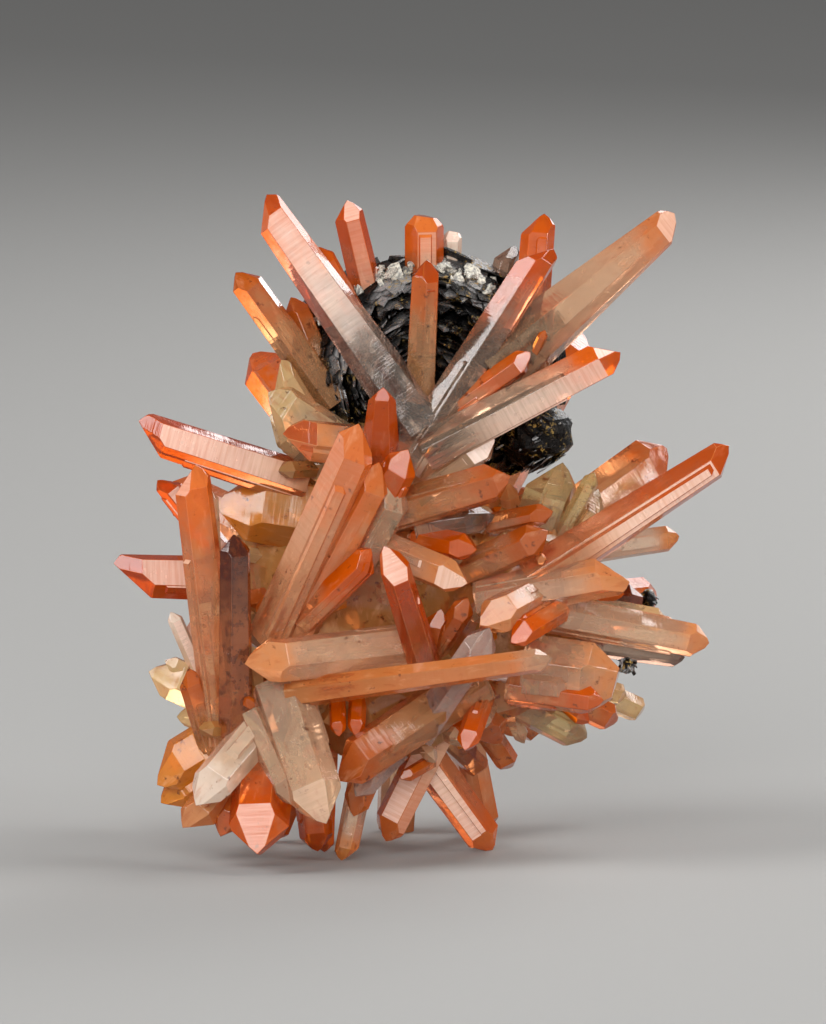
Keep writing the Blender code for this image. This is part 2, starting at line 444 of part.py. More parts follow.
def finish(thing, name, colour, roughness, metallic=0.0):
    """Names a piece, gives it its own material and puts it with the others."""
    thing.name = thing.data.name = name
    material = bpy.data.materials.new(name)
    material.use_nodes = True
    shader = material.node_tree.nodes["Principled BSDF"]
    shader.inputs["Base Color"].default_value = (*colour, 1)
    shader.inputs["Roughness"].default_value = roughness
    shader.inputs["Metallic"].default_value = metallic
    thing.data.materials.clear()
    thing.data.materials.append(material)
    bpy.context.scene.collection.objects.unlink(thing)
    SPECIMEN.objects.link(thing)


def main():
    for old in list(bpy.data.objects):
        bpy.data.objects.remove(old)
    bpy.context.scene.collection.children.link(SPECIMEN)
    finish(quartz_cluster(), "quartz_cluster", IRON_STAINED, 0.2)
    rosette_mass = rosette()
    carve(rosette_mass, {**GROWN_TOGETHER, **CROWN}, LUMPS)
    finish(rosette_mass, "hematite_rosette", HEMATITE, 0.35, 0.7)
    for name, shape in CROWN.items():
        piece = crystal(name, shape)
        carve(piece, GROWN_TOGETHER, LUMPS)
        finish(piece, name, CROWN_COLOURS[name], 0.15)
    for name, row in CHIPS.items():
        chip = lump(name, *row)
        carve(chip, GROWN_TOGETHER, LUMPS)
        finish(chip, name, HEMATITE, 0.35, 0.7)


main()
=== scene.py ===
# An iron-stained quartz specimen: orange crystals that radiate from a black hematite rosette.
# Lengths are in millimetres until a piece's corners are written, then in metres.
from itertools import combinations
from random import Random

import bpy
import numpy as np
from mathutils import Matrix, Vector


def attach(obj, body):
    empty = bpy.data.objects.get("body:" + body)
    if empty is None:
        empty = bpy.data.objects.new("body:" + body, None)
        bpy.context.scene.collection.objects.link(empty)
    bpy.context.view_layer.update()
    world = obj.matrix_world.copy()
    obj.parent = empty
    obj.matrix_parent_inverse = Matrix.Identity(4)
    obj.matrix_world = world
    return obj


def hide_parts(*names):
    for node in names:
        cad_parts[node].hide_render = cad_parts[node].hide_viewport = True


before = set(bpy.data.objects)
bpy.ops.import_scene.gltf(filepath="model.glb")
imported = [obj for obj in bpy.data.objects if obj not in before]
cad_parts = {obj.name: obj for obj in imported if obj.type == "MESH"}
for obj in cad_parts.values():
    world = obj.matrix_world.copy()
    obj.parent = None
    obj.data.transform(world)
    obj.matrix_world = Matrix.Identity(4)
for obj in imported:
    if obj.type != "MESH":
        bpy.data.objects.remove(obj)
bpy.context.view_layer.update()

# The crystals are laid out as they are seen from the front: across from the middle, up from the
# ground and back from the front foot.
layout = {
    "mm": 0.001,
    "sightDown": np.radians(7),
    "middleAcross": -0.3,
    "middleBack": 12.4,
}
quartz = {
    "faceToAxis": np.radians(38.2),   # end faces lean this far from the crystal's length
    "faceSpread": 0.10,               # how unequal the six prism faces are
    "minorStep": 0.10,                # the minor end faces stand this far back, in widths
    "edgeWidth": 0.09,                # worn edges, mm
    "feet": ("front_foot", "right_foot", "back_foot_left", "back_foot_right", "flat_foot"),
    "flatSpot": 1.5,                  # how deep the flat foot is cut, mm
    "massFaces": 72,                  # broken faces of each lump of massive quartz
    "paintedSideShade": -0.55,               # sides that stand edge on are painted this much deeper, a painted shade
    "ridges": 2,                      # parallel growths that each long crystal carries
    "ridgeFrom": 7.0,                 # shorter crystals carry none, mm
}

# tip, root, wide, deep, roll, lean, slant, taper, blunt, look
upperFan = {
    "upper_left_long": ((-20.6, 82.5, 0), (-0.3, 53.9, -3), 5.7, 5.2, 8, -75, 0.50, 1.6, 0, "pinkClear"),
    "upper_left_short": ((-13.2, 76.8, 1.2), (-8.8, 68.5, 1.8), 2.6, 3.4, 20, 60, 0.40, 0.6, 0, "fire"),
    "left_rough": ((-23.3, 73.8, 6), (-11.2, 57, 4.5), 4.2, 4, 15, 60, 0.30, 0.6, 0, "rust"),
    "left_rough_small": ((-16.6, 70.6, 8), (-13, 62, 6), 3.2, 3, 25, 30, 0.30, 0.6, 0, "rust"),
    "upper_right_long": ((15.2, 76.9, 0.5), (-2.6, 49, -4), 4.6, 4.4, 22, -85, 0.55, 0.6, 0, "fireClear"),
    "upright_behind": ((14.3, 81, 8.5), (13, 65, 5.5), 4.4, 4.2, 5, -60, 0.40, 0.6, 0, "fire"),
    "right_big": ((31.7, 80.8, 9), (7.8, 60.6, 0), 6.7, 6.2, 12, 20, 0.50, 4, 0, "peachClear"),
    "right_big_needle": ((14.9, 66.2, -1.6), (13.4, 63, -0.4), 1.3, 1.6, 10, 0, 0.3, 0.6, 0, "rust"),
    "right_lower": ((24.1, 63.8, -4.5), (-0.2, 51.2, -4), 4.8, 4.4, 28, -60, 0.25, 0.6, 0, "fireClear"),
    "right_lower_small": ((13.2, 63.3, -3.2), (2.2, 55.6, -2.6), 3.2, 3.2, 15, 30, 0.35, 0.6, 0, "fire"),
    "orange_thumb": ((-5.2, 59.2, -8), (-5.6, 48.6, -3), 4.3, 4, 0, 180, 0.10, 5, 0, "fire"),
    "clear_under_fan": ((8.6, 52.9, -3), (-1, 46.4, -1), 4, 4.4, 20, 10, 0.50, 0.6, 0, "clear"),
}
leftFan = {
    "left_long": ((-35.9, 54, -2), (-15, 47.3, 2), 5.2, 4.8, 12, -65, 0.55, 0.6, 0, "fire"),
    "left_small": ((-33.1, 47.9, 6), (-23.6, 36, 5.5), 3.2, 3, 10, 60, 0.40, 0.6, 0, "fire"),
    "left_upright": ((-29.2, 49.3, -7), (-25, 14.6, -1), 4.8, 4.6, 14, -60, 0.45, 0.3, 0, "salmon"),
    "left_upright_thin": ((-26.5, 46.4, -3.4), (-26, 31, -1.5), 1.8, 2.2, 0, 90, 0.30, 0.6, 0, "clear"),
    "dark_upright": ((-23.6, 40.8, -8), (-23.6, 15.8, -3.5), 4, 3.8, 20, 20, 0.25, 0.6, 0, "oxblood"),
    "left_level": ((-38.8, 35.8, 2), (-19.6, 35.2, 6), 5.6, 5, 15, -60, 0.75, 0.6, 0, "fire"),
    "left_thick": ((-26, 45.2, 2), (-10, 42.8, 3.5), 9.2, 8, 12, 30, 0.35, 1.5, 0, "amber"),
    "pale_fin_small": ((-18.6, 62.2, 3), (-14.6, 55.4, 3), 3.6, 4.6, 10, -70, 0.60, 0.6, 0, "straw"),
    "pale_fin": ((-20.4, 57.2, 0.5), (-10.4, 50.6, 2), 7.6, 4.6, 5, -70, 0.55, 1, 0, "straw"),
    "peach_level": ((-17.4, 52.9, -5.5), (-6.6, 51.6, -2), 5.2, 4.8, 20, -20, 0.60, 0.6, 0, "peach"),
    "left_stub": ((-31.6, 31.2, 2), (-28, 23, 2.5), 2, 2, 12, 40, 0.30, 0.6, 0, "frosted"),
    "pale_left_rough": ((-34.4, 24, 3), (-25.4, 20, 3), 5.2, 5, 20, 20, 0.45, 0.6, 0, "straw"),
    "pale_left_low": ((-31, 18.8, 1.5), (-22, 18.4, 2), 4.4, 4.8, 5, 60, 0.50, 0.6, 0, "straw"),
    "left_finger": ((-29.7, 24, -4.2), (-26.6, 13.8, -1), 3.1, 3, 15, -40, 0.30, 0.6, 0, "rust"),
}
centre = {
    "centre_main": ((-7.5, 54, -12), (-19.4, 27.8, -3), 5.5, 5.4, 12, 55, 0.50, 0.2, 0, "salmon"),
    "centre_main_behind": ((-5.2, 49.4, -9), (-16.4, 28, -2), 4.6, 4.6, 20, 60, 0.40, 0.6, 0, "salmon"),
    "centre_round": ((-1.9, 51, -9), (-6.4, 43.6, -4), 4.9, 4.4, 0, 40, 0.30, 4, 0, "fire"),
    "centre_clear": ((-2.6, 47.8, -7.5), (-8.2, 37.8, -3), 5, 5, 25, 90, 0.55, 0.6, 0, "clear"),
    "centre_spear": ((-6.2, 38.6, -9.5), (-15.2, 30, -4), 3.7, 3.6, 20, 90, 0.45, 0.6, 0, "fire"),
    "centre_bright": ((-4.4, 38.8, -14.5), (0.2, 23.8, -4), 4, 4, 10, 20, 0.85, 0.6, 0, "fire"),
    "centre_right_pale": ((5, 34.9, -9), (-6.4, 39.6, -2.5), 4.3, 4.6, 18, 0, 0.45, 0.6, 0, "peach"),
    "centre_right_orange": ((6.1, 39, -7), (-0.8, 40.4, -1.5), 3.5, 3.6, 12, 0, 0.40, 0.6, 0, "fire"),
    "brown_pointing_right": ((11, 47.9, -7.5), (-5, 43.2, -2), 5.1, 4.6, 16, 160, 0.45, 0.6, 0, "rust"),
    "smoky_under": ((8.6, 43.2, -3), (-1, 41.8, -1.5), 4, 4, 22, 0, 0.40, 0.6, 0, "smoky"),
    "red_brown": ((15.2, 40.9, -6), (4.4, 36, 0), 4.3, 4.2, 14, 30, 0.35, 0.6, 0, "rust"),
    "peach_prism": ((25.3, 35.9, -3.5), (6.5, 32.6, -1), 5.2, 5.2, 10, -70, 0.50, 0.6, 0, "peach"),
    "pink_faceted": ((7.2, 29.8, -9), (13.6, 33.2, -2), 4.9, 4.8, 15, 0, 0.40, 0.6, 0, "peach"),
    "pink_faceted_low": ((10.5, 27.9, -8.5), (16.6, 31.6, -2), 3.6, 3.8, 5, 60, 0.40, 0.6, 0, "fire"),
    "brown_small": ((5.4, 32.6, -7), (1.6, 26.6, -2), 3, 3.2, 10, 30, 0.40, 0.6, 0, "rust"),
    "brown_small_left": ((1.8, 31.4, -6), (0.4, 24.6, -2), 2.8, 3, 0, -30, 0.30, 0.6, 0, "rust"),
    "pale_level": ((-22, 24.8, -9.5), (-1.6, 27, -3), 5.6, 5.2, 15, 0, 0.70, 0.6, 0, "peach"),
    "long_level": ((15.7, 25.5, -15), (-17, 21, -6), 3.4, 3.4, 14, 0, 0.30, 0.6, 0, "striped"),
    "lilac_clear": ((8.2, 28.8, -9), (-0.4, 16, -3), 4.2, 4.2, 25, 30, 0.50, 0.6, 0, "lilac"),
    "brown_thick": ((-11.2, 10.9, -7.5), (7, 23, -2), 6, 6.2, 16, 60, 0.40, 0.6, 0, "rust"),
}
rightFan = {
    "right_long": ((38.4, 51.2, 2), (13, 34.9, -1), 5, 4.8, 20, 60, 0.50, 1.6, 0, "salmon"),
    "right_clear": ((32, 40.6, 8.5), (18, 38.6, 4.5), 3.4, 3.2, 15, 0, 0.35, 0.6, 0, "clearTip"),
    "pale_green_top": ((16.8, 49.9, 4), (13, 38.4, 4), 6.2, 6, 18, -30, 0.35, 0.6, 0, "olive"),
    "pale_green_small": ((21.2, 48.5, 1.5), (16.6, 40, 2), 2.2, 2.4, 10, 20, 0.35, 0.6, 0, "olive"),
    "pale_green_right": ((22.2, 46.2, 5.5), (16.2, 36.2, 4.5), 4.6, 4.6, 5, 60, 0.40, 0.6, 0, "olive"),
    "flat_brown": ((15.9, 43.7, -1.5), (7.6, 42, 0.5), 2.8, 3.6, 12, 0, 0.30, 0.6, 0, "rust"),
    "dark_behind_right": ((28, 32.4, 8.6), (17.4, 32, 6), 4.4, 4.2, 15, 0, 0.30, 0.6, 0.8, "oxblood"),
    "lower_right_long": ((35.8, 27.2, 4), (13, 31.6, -1.5), 4.5, 4.4, 12, 0, 0.50, 0.6, 0, "peach"),
    "lower_right_thin": ((30.3, 30.1, 7), (18, 32.2, 3.5), 2.8, 2.8, 10, 0, 0.35, 0.6, 0, "straw"),
    "lower_right_leaf": ((32.7, 25.4, 7), (19, 27.4, 3), 3, 3.2, 15, 0, 0.35, 0.6, 0, "smoky"),
    "chipped_mass": ((25.6, 22.6, -3), (12.6, 24.2, -0.5), 8.6, 7.6, 22, 0, 0.30, 1, 1.8, "peach"),
    "orange_wedge": ((22.4, 19.9, -4.5), (10.4, 21.6, -1.5), 3.9, 4.2, 15, 160, 0.45, 0.6, 0, "fire"),
    "pale_low_right": ((20.6, 15.2, 6), (10.4, 20.6, 2.5), 4.8, 4.6, 18, 0, 0.45, 0.6, 0, "olive"),
    "brown_low_right": ((24.5, 17.2, 13), (15.4, 21.6, 7), 3.8, 3.8, 12, 0, 0.40, 0.6, 0, "rust"),
    "pale_wedge_near": ((25.6, 20.2, 24), (10, 25.6, 11), 3.2, 3.2, 12, 0, 0.35, 0.6, 0, "straw"),
    "pale_wedge_far": ((28, 18.2, 32), (10.5, 26, 14), 3.6, 3.6, 12, 0, 0.35, 0.6, 0, "straw"),
}
lowerFan = {
    "yellow_leaf": ((-33.9, 10.4, -1.5), (-23.6, 16.6, 1), 6.2, 5, 10, 60, 0.45, 0.6, 0, "amber"),
    "yellow_leaf_low": ((-33, 7.3, 0), (-24.6, 12.4, 1.5), 4.4, 4.2, 16, 0, 0.35, 0.6, 0, "amber"),
    "pale_low_left": ((-28.2, 7.5, -10.5), (-19.6, 17.6, -3), 5.2, 5, 14, 0, 0.55, 0.6, 0, "frosted"),
    "pale_lower_left": ((-29.8, 4.2, -7), (-20.4, 14.6, -1), 4.6, 4.4, 10, -30, 0.40, 0.6, 0, "peach"),
    "brown_lower_left": ((-25.4, 3.4, -7), (-21, 12.6, -1), 3.6, 3.6, 12, 0, 0.35, 0.6, 0, "rust"),
    "orange_chunk": ((-20.8, 1.7, -13), (-19.8, 12.4, -3), 7.6, 6.6, 12, 0, 0.30, 0.6, 0, "fire"),
    "clear_pair": ((-12.4, 5.3, -12.5), (-18.2, 22.4, -4), 6.9, 6, 15, 0, 0.50, 0.6, 0, "clear"),
    "clear_pair_left": ((-16.2, 7.1, -10.5), (-21.4, 18.4, -4), 4, 4.4, 10, 30, 0.40, 0.6, 0, "clear"),
    "small_down": ((-13.4, 1, 2), (-14.8, 13.6, 0.5), 4.4, 4.2, 5, 0, 0.30, 0.6, 0, "fire"),
    "small_down_right": ((-12.6, 0.9, 5), (-12.2, 14.4, 3), 2.6, 2.6, 15, 0, 0.30, 0.6, 0, "fire"),
    "front_foot": ((-10.1, 0, 0), (-7.3, 14, 0.8), 3.1, 3, 10, -60, 0.35, 0.6, 0, "clearTip"),
    "pair_down_left": ((-10.7, 15.8, -6), (-11, 22.4, -1), 2.1, 2.2, 12, 0, 0.35, 0.6, 0, "fire"),
    "pair_down_right": ((-8.6, 15.9, -6), (-8.2, 22.4, -1), 2.3, 2.3, 4, 0, 0.35, 0.6, 0, "fire"),
    "tiny_level": ((-3, 10.4, -2.5), (0.8, 12.6, 1), 1.8, 1.8, 12, 0, 0.3, 0.6, 0, "rust"),
    "lilac_bar": ((-8.6, 8.3, -5), (-3.4, 13.8, -1), 3, 3, 20, 0, 0.35, 0.6, 0, "lilac"),
    "brown_chunk": ((-9.2, 5.8, -2), (-5.6, 14.4, 1), 3.6, 3.8, 15, 40, 0.35, 0.6, 0, "rust"),
    "front_pink": ((-5.4, 2.5, 3.5), (1.6, 16.6, 3), 4.4, 4.6, 12, 40, 0.45, 0.6, 0, "salmon"),
    "right_foot": ((8.6, 1, 8.6), (-1.4, 14.8, 5), 4.8, 4.6, 10, 0, 0.30, 0.6, 0, "salmon"),
    "small_between": ((7.6, 10.8, 19), (0.4, 17.6, 9), 3.2, 3.2, 15, 0, 0.35, 0.6, 0, "rust"),
    "small_right_between": ((11, 11.2, 15), (5.8, 19, 8), 3.2, 3.2, 12, 0, 0.35, 0.6, 0, "rust"),
    "small_right_end": ((14.6, 15.4, 21), (7.4, 21, 11), 3.1, 3.2, 15, 0, 0.35, 0.6, 0, "rust"),
    "small_orange_down": ((5, 14.2, -8), (7.4, 21.4, -1), 3, 3, 10, 0, 0.35, 0.6, 0, "fire"),
    "brown_block": ((9.6, 14.5, 3), (4.6, 22, 1), 5, 5, 18, 0, 0.30, 0.6, 0, "rust"),
}
backFan = {
    "back_foot_left": ((-20, 1.95, 16), (-11, 25, 9), 4.8, 4.6, 10, 0, 0.35, 0.6, 0, "fire"),
    "back_foot_right": ((7.6, 2.8, 23.4), (3, 25, 16), 4.4, 4.4, 15, 0, 0.35, 0.6, 0, "salmon"),
    "flat_foot": ((-3.7, 3.3, 27.6), (-2.4, 25, 17), 5, 4.8, 20, 0, 0.20, 0.6, 0, "peach"),
    "back_top": ((-4, 66, 36), (-3, 46, 16), 7.1, 6.7, 10, 0, 0.40, 0.6, 0, "rust"),
    "back_top_left": ((-22, 64, 26), (-8, 46, 13), 6.4, 6, 15, 0, 0.40, 0.6, 0, "fireClear"),
    "back_top_right": ((20, 67, 30), (8, 46, 14), 6.6, 6.3, 12, 0, 0.45, 0.6, 0, "fire"),
    "back_left": ((-33, 47, 24), (-14, 38, 12), 5.9, 5.8, 8, 0, 0.40, 0.6, 0, "salmon"),
    "back_left_low": ((-31, 28, 27), (-12, 30, 14), 6.4, 6, 12, 0, 0.45, 0.6, 0, "peach"),
    "back_right": ((31, 52, 27), (12, 38, 14), 6.2, 6, 18, 0, 0.50, 0.6, 0, "rust"),
    "back_right_low": ((30, 33, 31), (11, 31, 15), 5.7, 5.6, 5, 0, 0.40, 0.6, 0, "fireClear"),
    "back_middle": ((3, 44, 41), (1, 38, 20), 6.8, 6.5, 14, 0, 0.50, 0.6, 0, "fire"),
    "back_middle_left": ((-15, 50, 37), (-6, 40, 18), 5.2, 5.3, 10, 0, 0.35, 0.6, 0, "salmon"),
    "back_middle_low": ((-8, 30, 40), (-3, 32, 18), 5.7, 5.6, 22, 0, 0.45, 0.6, 0, "peach"),
    "back_right_middle": ((16, 42, 38), (7, 36, 18), 5, 5.1, 12, 0, 0.35, 0.6, 0, "rust"),
    "back_low_right": ((17, 22, 36), (6, 27, 17), 5.5, 5.3, 15, 0, 0.40, 0.6, 0, "fireClear"),
    "back_low_left": ((-22, 18, 30), (-8, 26, 15), 5.7, 5.6, 12, 0, 0.40, 0.6, 0, "fire"),
    "back_low_middle": ((4, 18, 38), (1, 27, 18), 4.6, 4.6, 12, 0, 0.35, 0.6, 0, "salmon"),
}
crown = {
    "crown_left": ((-9.8, 82.5, 7), (-6.5, 68.6, 8), 3.9, 3.6, 10, -20, 0.15, 0.6, 0, "fire"),
    "crown_middle": ((-0.2, 81.8, 7.5), (-0.2, 69.4, 8.5), 4.9, 4.4, 8, 0, 0.12, 0, 1.3, "salmon"),
    "crown_right": ((3.5, 79.3, 10.5), (3.2, 69.4, 10), 2.5, 2.6, 0, 0, 0.50, 0, 0.6, "frosted"),
    "crown_smoky": ((10.6, 77.2, 11), (8.2, 68, 10), 3, 3, 15, -60, 0.60, 0.6, 0, "smoky"),
    "crown_front": ((0.2, 74.9, -3), (-0.6, 57.4, -1), 3.5, 3.4, 28, 0, 0.20, 0.6, 0, "rust"),
}
# Massive quartz between the crystals: middle and size.
masses = {
    "heart": ((-5, 36, 8), (40, 30, 20)),
    "heart_back": ((-1, 33, 19.5), (36, 31, 21)),
    "lower_left_mass": ((-20, 17, 1.5), (15, 15, 13)),
    "right_mass": ((12, 34, 7), (21, 23, 17)),
    "upper_mass": ((-8, 50, 4), (17, 10, 11)),
    "low_mass": ((-5, 20, 4), (24, 15, 14)),
    "low_right_mass": ((9, 23, 6), (22, 12, 14)),
}
# Small crystals spread over the masses: to the back or the front, how many on each mass, how far
# out and how wide, mm, and how far each is turned from the last.
smallAtBack = {
    "way": 1,
    "counts": {"heart_back": 22, "lower_left_mass": 7, "right_mass": 6, "low_right_mass": 4},
    "out": (1.5, 6.0),
    "wide": (4.2, 7.4),
    "slant": 0.35,
    "turn": np.radians(137.5),
    "looks": ("salmon", "rust", "peach", "fire", "straw"),
}
smallBetween = {
    "way": 1,
    "counts": {"heart_back": 64, "right_mass": 10, "lower_left_mass": 10},
    "out": (0.3, 2.6),
    "wide": (2.0, 4.6),
    "slant": 0.4,
    "turn": np.radians(99.5),
    "looks": ("rust", "olive", "peach", "clear", "heart", "salmon", "straw"),
}
smallInRecesses = {
    "way": -1,
    "counts": {"heart": 50, "right_mass": 26, "low_mass": 26, "low_right_mass": 16,
               "lower_left_mass": 14, "upper_mass": 8},
    "out": (0.4, 3.0),
    "wide": (1.4, 3.6),
    "slant": 0.35,
    "turn": np.radians(137.5),
    "looks": ("olive", "rust", "clear", "peach", "heart", "fire", "straw", "amber"),
}

# Colour at the tip and further down, how clear each is, how far the stain reaches, mm, and how
# speckled it is.
looks = {
    "fire": ("#E46200", "#F2AE78", 0.52, 0.74, 14, 0.2),
    "fireClear": ("#E4680C", "#F2D0B0", 0.56, 0.90, 12, 0.3),
    "striped": ("#F0C8A0", "#EA9450", 0.80, 0.62, 5, 0.3),
    "salmon": ("#EA7A2E", "#F6B480", 0.48, 0.70, 15, 0.2),
    "pinkClear": ("#E47030", "#F2DCCA", 0.54, 0.92, 12, 0.1),
    "peach": ("#F0A060", "#F4CBA4", 0.56, 0.76, 8, 0.2),
    "straw": ("#F0CC90", "#F4DAB0", 0.62, 0.74, 8, 0.2),
    "olive": ("#DAC084", "#D8C290", 0.74, 0.80, 8, 0.6),
    "amber": ("#F0942A", "#F2AC5C", 0.54, 0.64, 9, 0.4),
    "rust": ("#D26618", "#E0A068", 0.54, 0.74, 8, 0.5),
    "oxblood": ("#4A1604", "#A45C30", 0.42, 0.56, 11, 1.7),
    "smoky": ("#A08874", "#BEA692", 0.88, 0.90, 9, 0.4),
    "peachClear": ("#EA8C4C", "#F4C8A0", 0.60, 0.82, 11, 0.2),
    "lilac": ("#E6CEC0", "#DEC6B8", 0.78, 0.84, 8, 0.1),
    "clear": ("#F0CCA4", "#F0D0AC", 0.70, 0.76, 9, 0.3),
    "clearTip": ("#E8903C", "#F4D8BC", 0.62, 0.82, 5, 0.2),
    "frosted": ("#F4E2CE", "#F2D4B4", 0.44, 0.58, 6, 0.3),
    "heart": ("#C08C50", "#B8844A", 0.56, 0.56, 8, 0.7),
}

# Faces that are frosted and painted pale, a painted sheen for light they would mirror, and where
# negative, faces painted deeper, a painted shade: 0 to 5 on the sides, 6 to 11 at the end, counted round
# the crystal from the one that looks to the front.
frostSheenAndShadeFaces = {
    "upper_left_long": {0: 0.6, 1: 0.25, "sides": -0.4, "ends": -0.7, 11: 0.3},
    "left_long": {0: 1.0, "sides": -0.7, "ends": -0.8},
    "left_level": {0: 0.9, "sides": -0.8, "ends": -1.0},
    "left_small": {0: 0.9, "sides": -0.8, "ends": -0.8},
    "left_stub": {0: 1.0},
    "left_upright": {11: 0.7, "sides": -0.2},
    "right_big": {6: 0.9},
    "right_lower": {11: 1.0, 0: 0.8, "ends": -0.3},
    "right_long": {0: 0.9, "sides": -0.7, "ends": -0.8},
    "upper_right_long": {"sides": -0.4, "ends": -0.5},
    "crown_left": {6: 0.8, 0: 0.3, "sides": -0.6, "ends": -0.5},
    "crown_middle": {0: 0.4, "sides": -0.5},
    "crown_right": {6: 1.0},
    "crown_front": {"ends": -0.8},
    "orange_thumb": {"sides": -0.5, "ends": -0.8},
    "centre_main": {5: 0.5, 0: 0.1},
    "centre_bright": {6: 0.8, "sides": -0.9, "ends": -0.5},
    "centre_right_pale": {6: 0.9},
    "clear_under_fan": {6: 0.8},
    "front_pink": {0: 1.0, 5: 0.5},
    "right_foot": {0: 0.9, "sides": -0.5},
    "clear_pair": {6: 0.4},
    "lower_right_long": {11: 0.9},
    "orange_chunk": {6: 0.5, "sides": -0.5},
    "peach_level": {6: -0.9, "ends": -0.4},
}


def unit(vectors):
    return vectors / np.linalg.norm(vectors, axis=-1, keepdims=True)


def placed(point):
    # a point of the layout, in millimetres from the middle of the specimen's base
    across, up, back = point
    height = (up - back * np.sin(layout["sightDown"])) / np.cos(layout["sightDown"])
    return np.array([across - layout["middleAcross"], back - layout["middleBack"], height])


def linear(hexColour, alpha=1.0):
    # sRGB hex to linear
    channels = np.array([int(hexColour[i:i + 2], 16) for i in (1, 3, 5)]) / 255
    low = channels / 12.92
    high = ((channels + 0.055) / 1.055) ** 2.4
    return (*np.where(channels <= 0.04045, low, high), alpha)


triples = {}
basePlane = 12    # after six sides and six end faces


def roomInside(normals, reaches):
    # The room that lies inside every plane: each three planes meet in a point, found for all
    # threes at once with Cramer's rule, and the points that no plane cuts off are the corners.
    # Gives the corners and, for each plane, the corners on it in order round its normal.
    count = len(normals)
    if count not in triples:
        triples[count] = np.array(list(combinations(range(count), 3)))
    a, b, c = (triples[count][:, k] for k in range(3))
    bc = np.cross(normals[b], normals[c])
    volume = np.einsum("ij,ij->i", normals[a], bc)
    met = np.abs(volume) > 1e-7
    a, b, c, bc, volume = a[met], b[met], c[met], bc[met], volume[met]
    points = (reaches[a, None] * bc
              + reaches[b, None] * np.cross(normals[c], normals[a])
              + reaches[c, None] * np.cross(normals[a], normals[b])) / volume[:, None]
    points = points[(points @ normals.T <= reaches + 1e-6).all(1)]
    corners = np.unique(np.round(points, 5), axis=0)
    on = np.abs(corners @ normals.T - reaches) < 3e-5
    # corners within a thousandth of a millimetre are one
    first = (np.linalg.norm(corners[:, None] - corners, axis=2) < 1e-3).argmax(1)
    shared = np.zeros_like(on)
    np.logical_or.at(shared, first, on)
    corners, on = corners[np.unique(first)], shared[np.unique(first)]
    faces = []
    for plane in range(count):
        ring = np.flatnonzero(on[:, plane])
        if len(ring) < 3:
            continue
        side = unit(np.cross(normals[plane], (0.3, 0.5, 0.8)))
        spokes = corners[ring] - corners[ring].mean(0)
        turn = np.arctan2(spokes @ np.cross(normals[plane], side), spokes @ side)
        faces.append((plane, ring[np.argsort(turn)]))
    return corners, on, faces


def crystalShape(name, row):
    # a crystal's own directions and the planes of its six sides and six end faces
    tip, root, wide, deep, roll, lean, slant, taper, blunt, look = row
    base = placed(root)
    along = placed(tip) - base
    length = np.linalg.norm(along)
    axis = unit(along)
    viewer = np.array([0, -np.cos(layout["sightDown"]), np.sin(layout["sightDown"])])
    toward = unit(viewer - axis * viewer.dot(axis))
    luck = Random(name)
    angles = np.radians(roll + 60 * np.arange(6))
    reach = np.hypot(wide * np.sin(angles), deep * np.cos(angles))
    reach = reach * [1 + luck.uniform(-quartz["faceSpread"], quartz["faceSpread"]) for _ in range(6)]
    before, turnBefore = np.roll(reach, 1), np.roll(angles, 1)
    edges = (before * np.cos(angles) - reach * np.cos(turnBefore)) / np.sin(np.pi / 3)
    reach = reach * wide / (edges.max() - edges.min())
    lean = 1 - np.cos(angles - np.radians(lean))
    step = (slant * lean / 2 + quartz["minorStep"] * (np.arange(6) % 2)) * wide
    shape = {
        "name": name, "look": look, "luck": luck, "base": base, "length": length, "wide": wide,
        "ways": np.array([np.cross(axis, toward), toward, axis]),
        "angles": angles, "reach": reach, "step": step, "taper": np.radians(taper), "blunt": blunt,
    }
    shape["peak"] = roomInside(*crystalPlanes(shape, length * 3))[0][:, 2].max()
    return shape


def crystalPlanes(shape, down, share=1.0, shift=(0, 0, 0)):
    # Each side stands its reach from the long axis, looks out at its angle and tilts up by the
    # taper. Each end face leans 38.2 degrees from the axis and meets it one step from the peak.
    # The base is square. Share narrows the crystal and shift moves it, for a growth.
    around = np.stack([np.sin(shape["angles"]), np.cos(shape["angles"])], 1)
    taper, lean = shape["taper"], quartz["faceToAxis"]
    zero, one = np.zeros(6), np.ones(6)
    sides = np.column_stack([around * np.cos(taper), one * np.sin(taper)])
    sidePoints = np.column_stack([around * shape["reach"][:, None] * share, -one * shape["length"] / 2])
    ends = np.column_stack([around * np.cos(lean), one * np.sin(lean)])
    endPoints = np.column_stack([zero, zero, shape["step"] * share])
    normals = np.vstack([sides, ends])
    reaches = np.einsum("ij,ij->i", normals, np.vstack([sidePoints, endPoints]) + shift)
    return np.vstack([normals, [0, 0, -1]]), np.append(reaches, down)


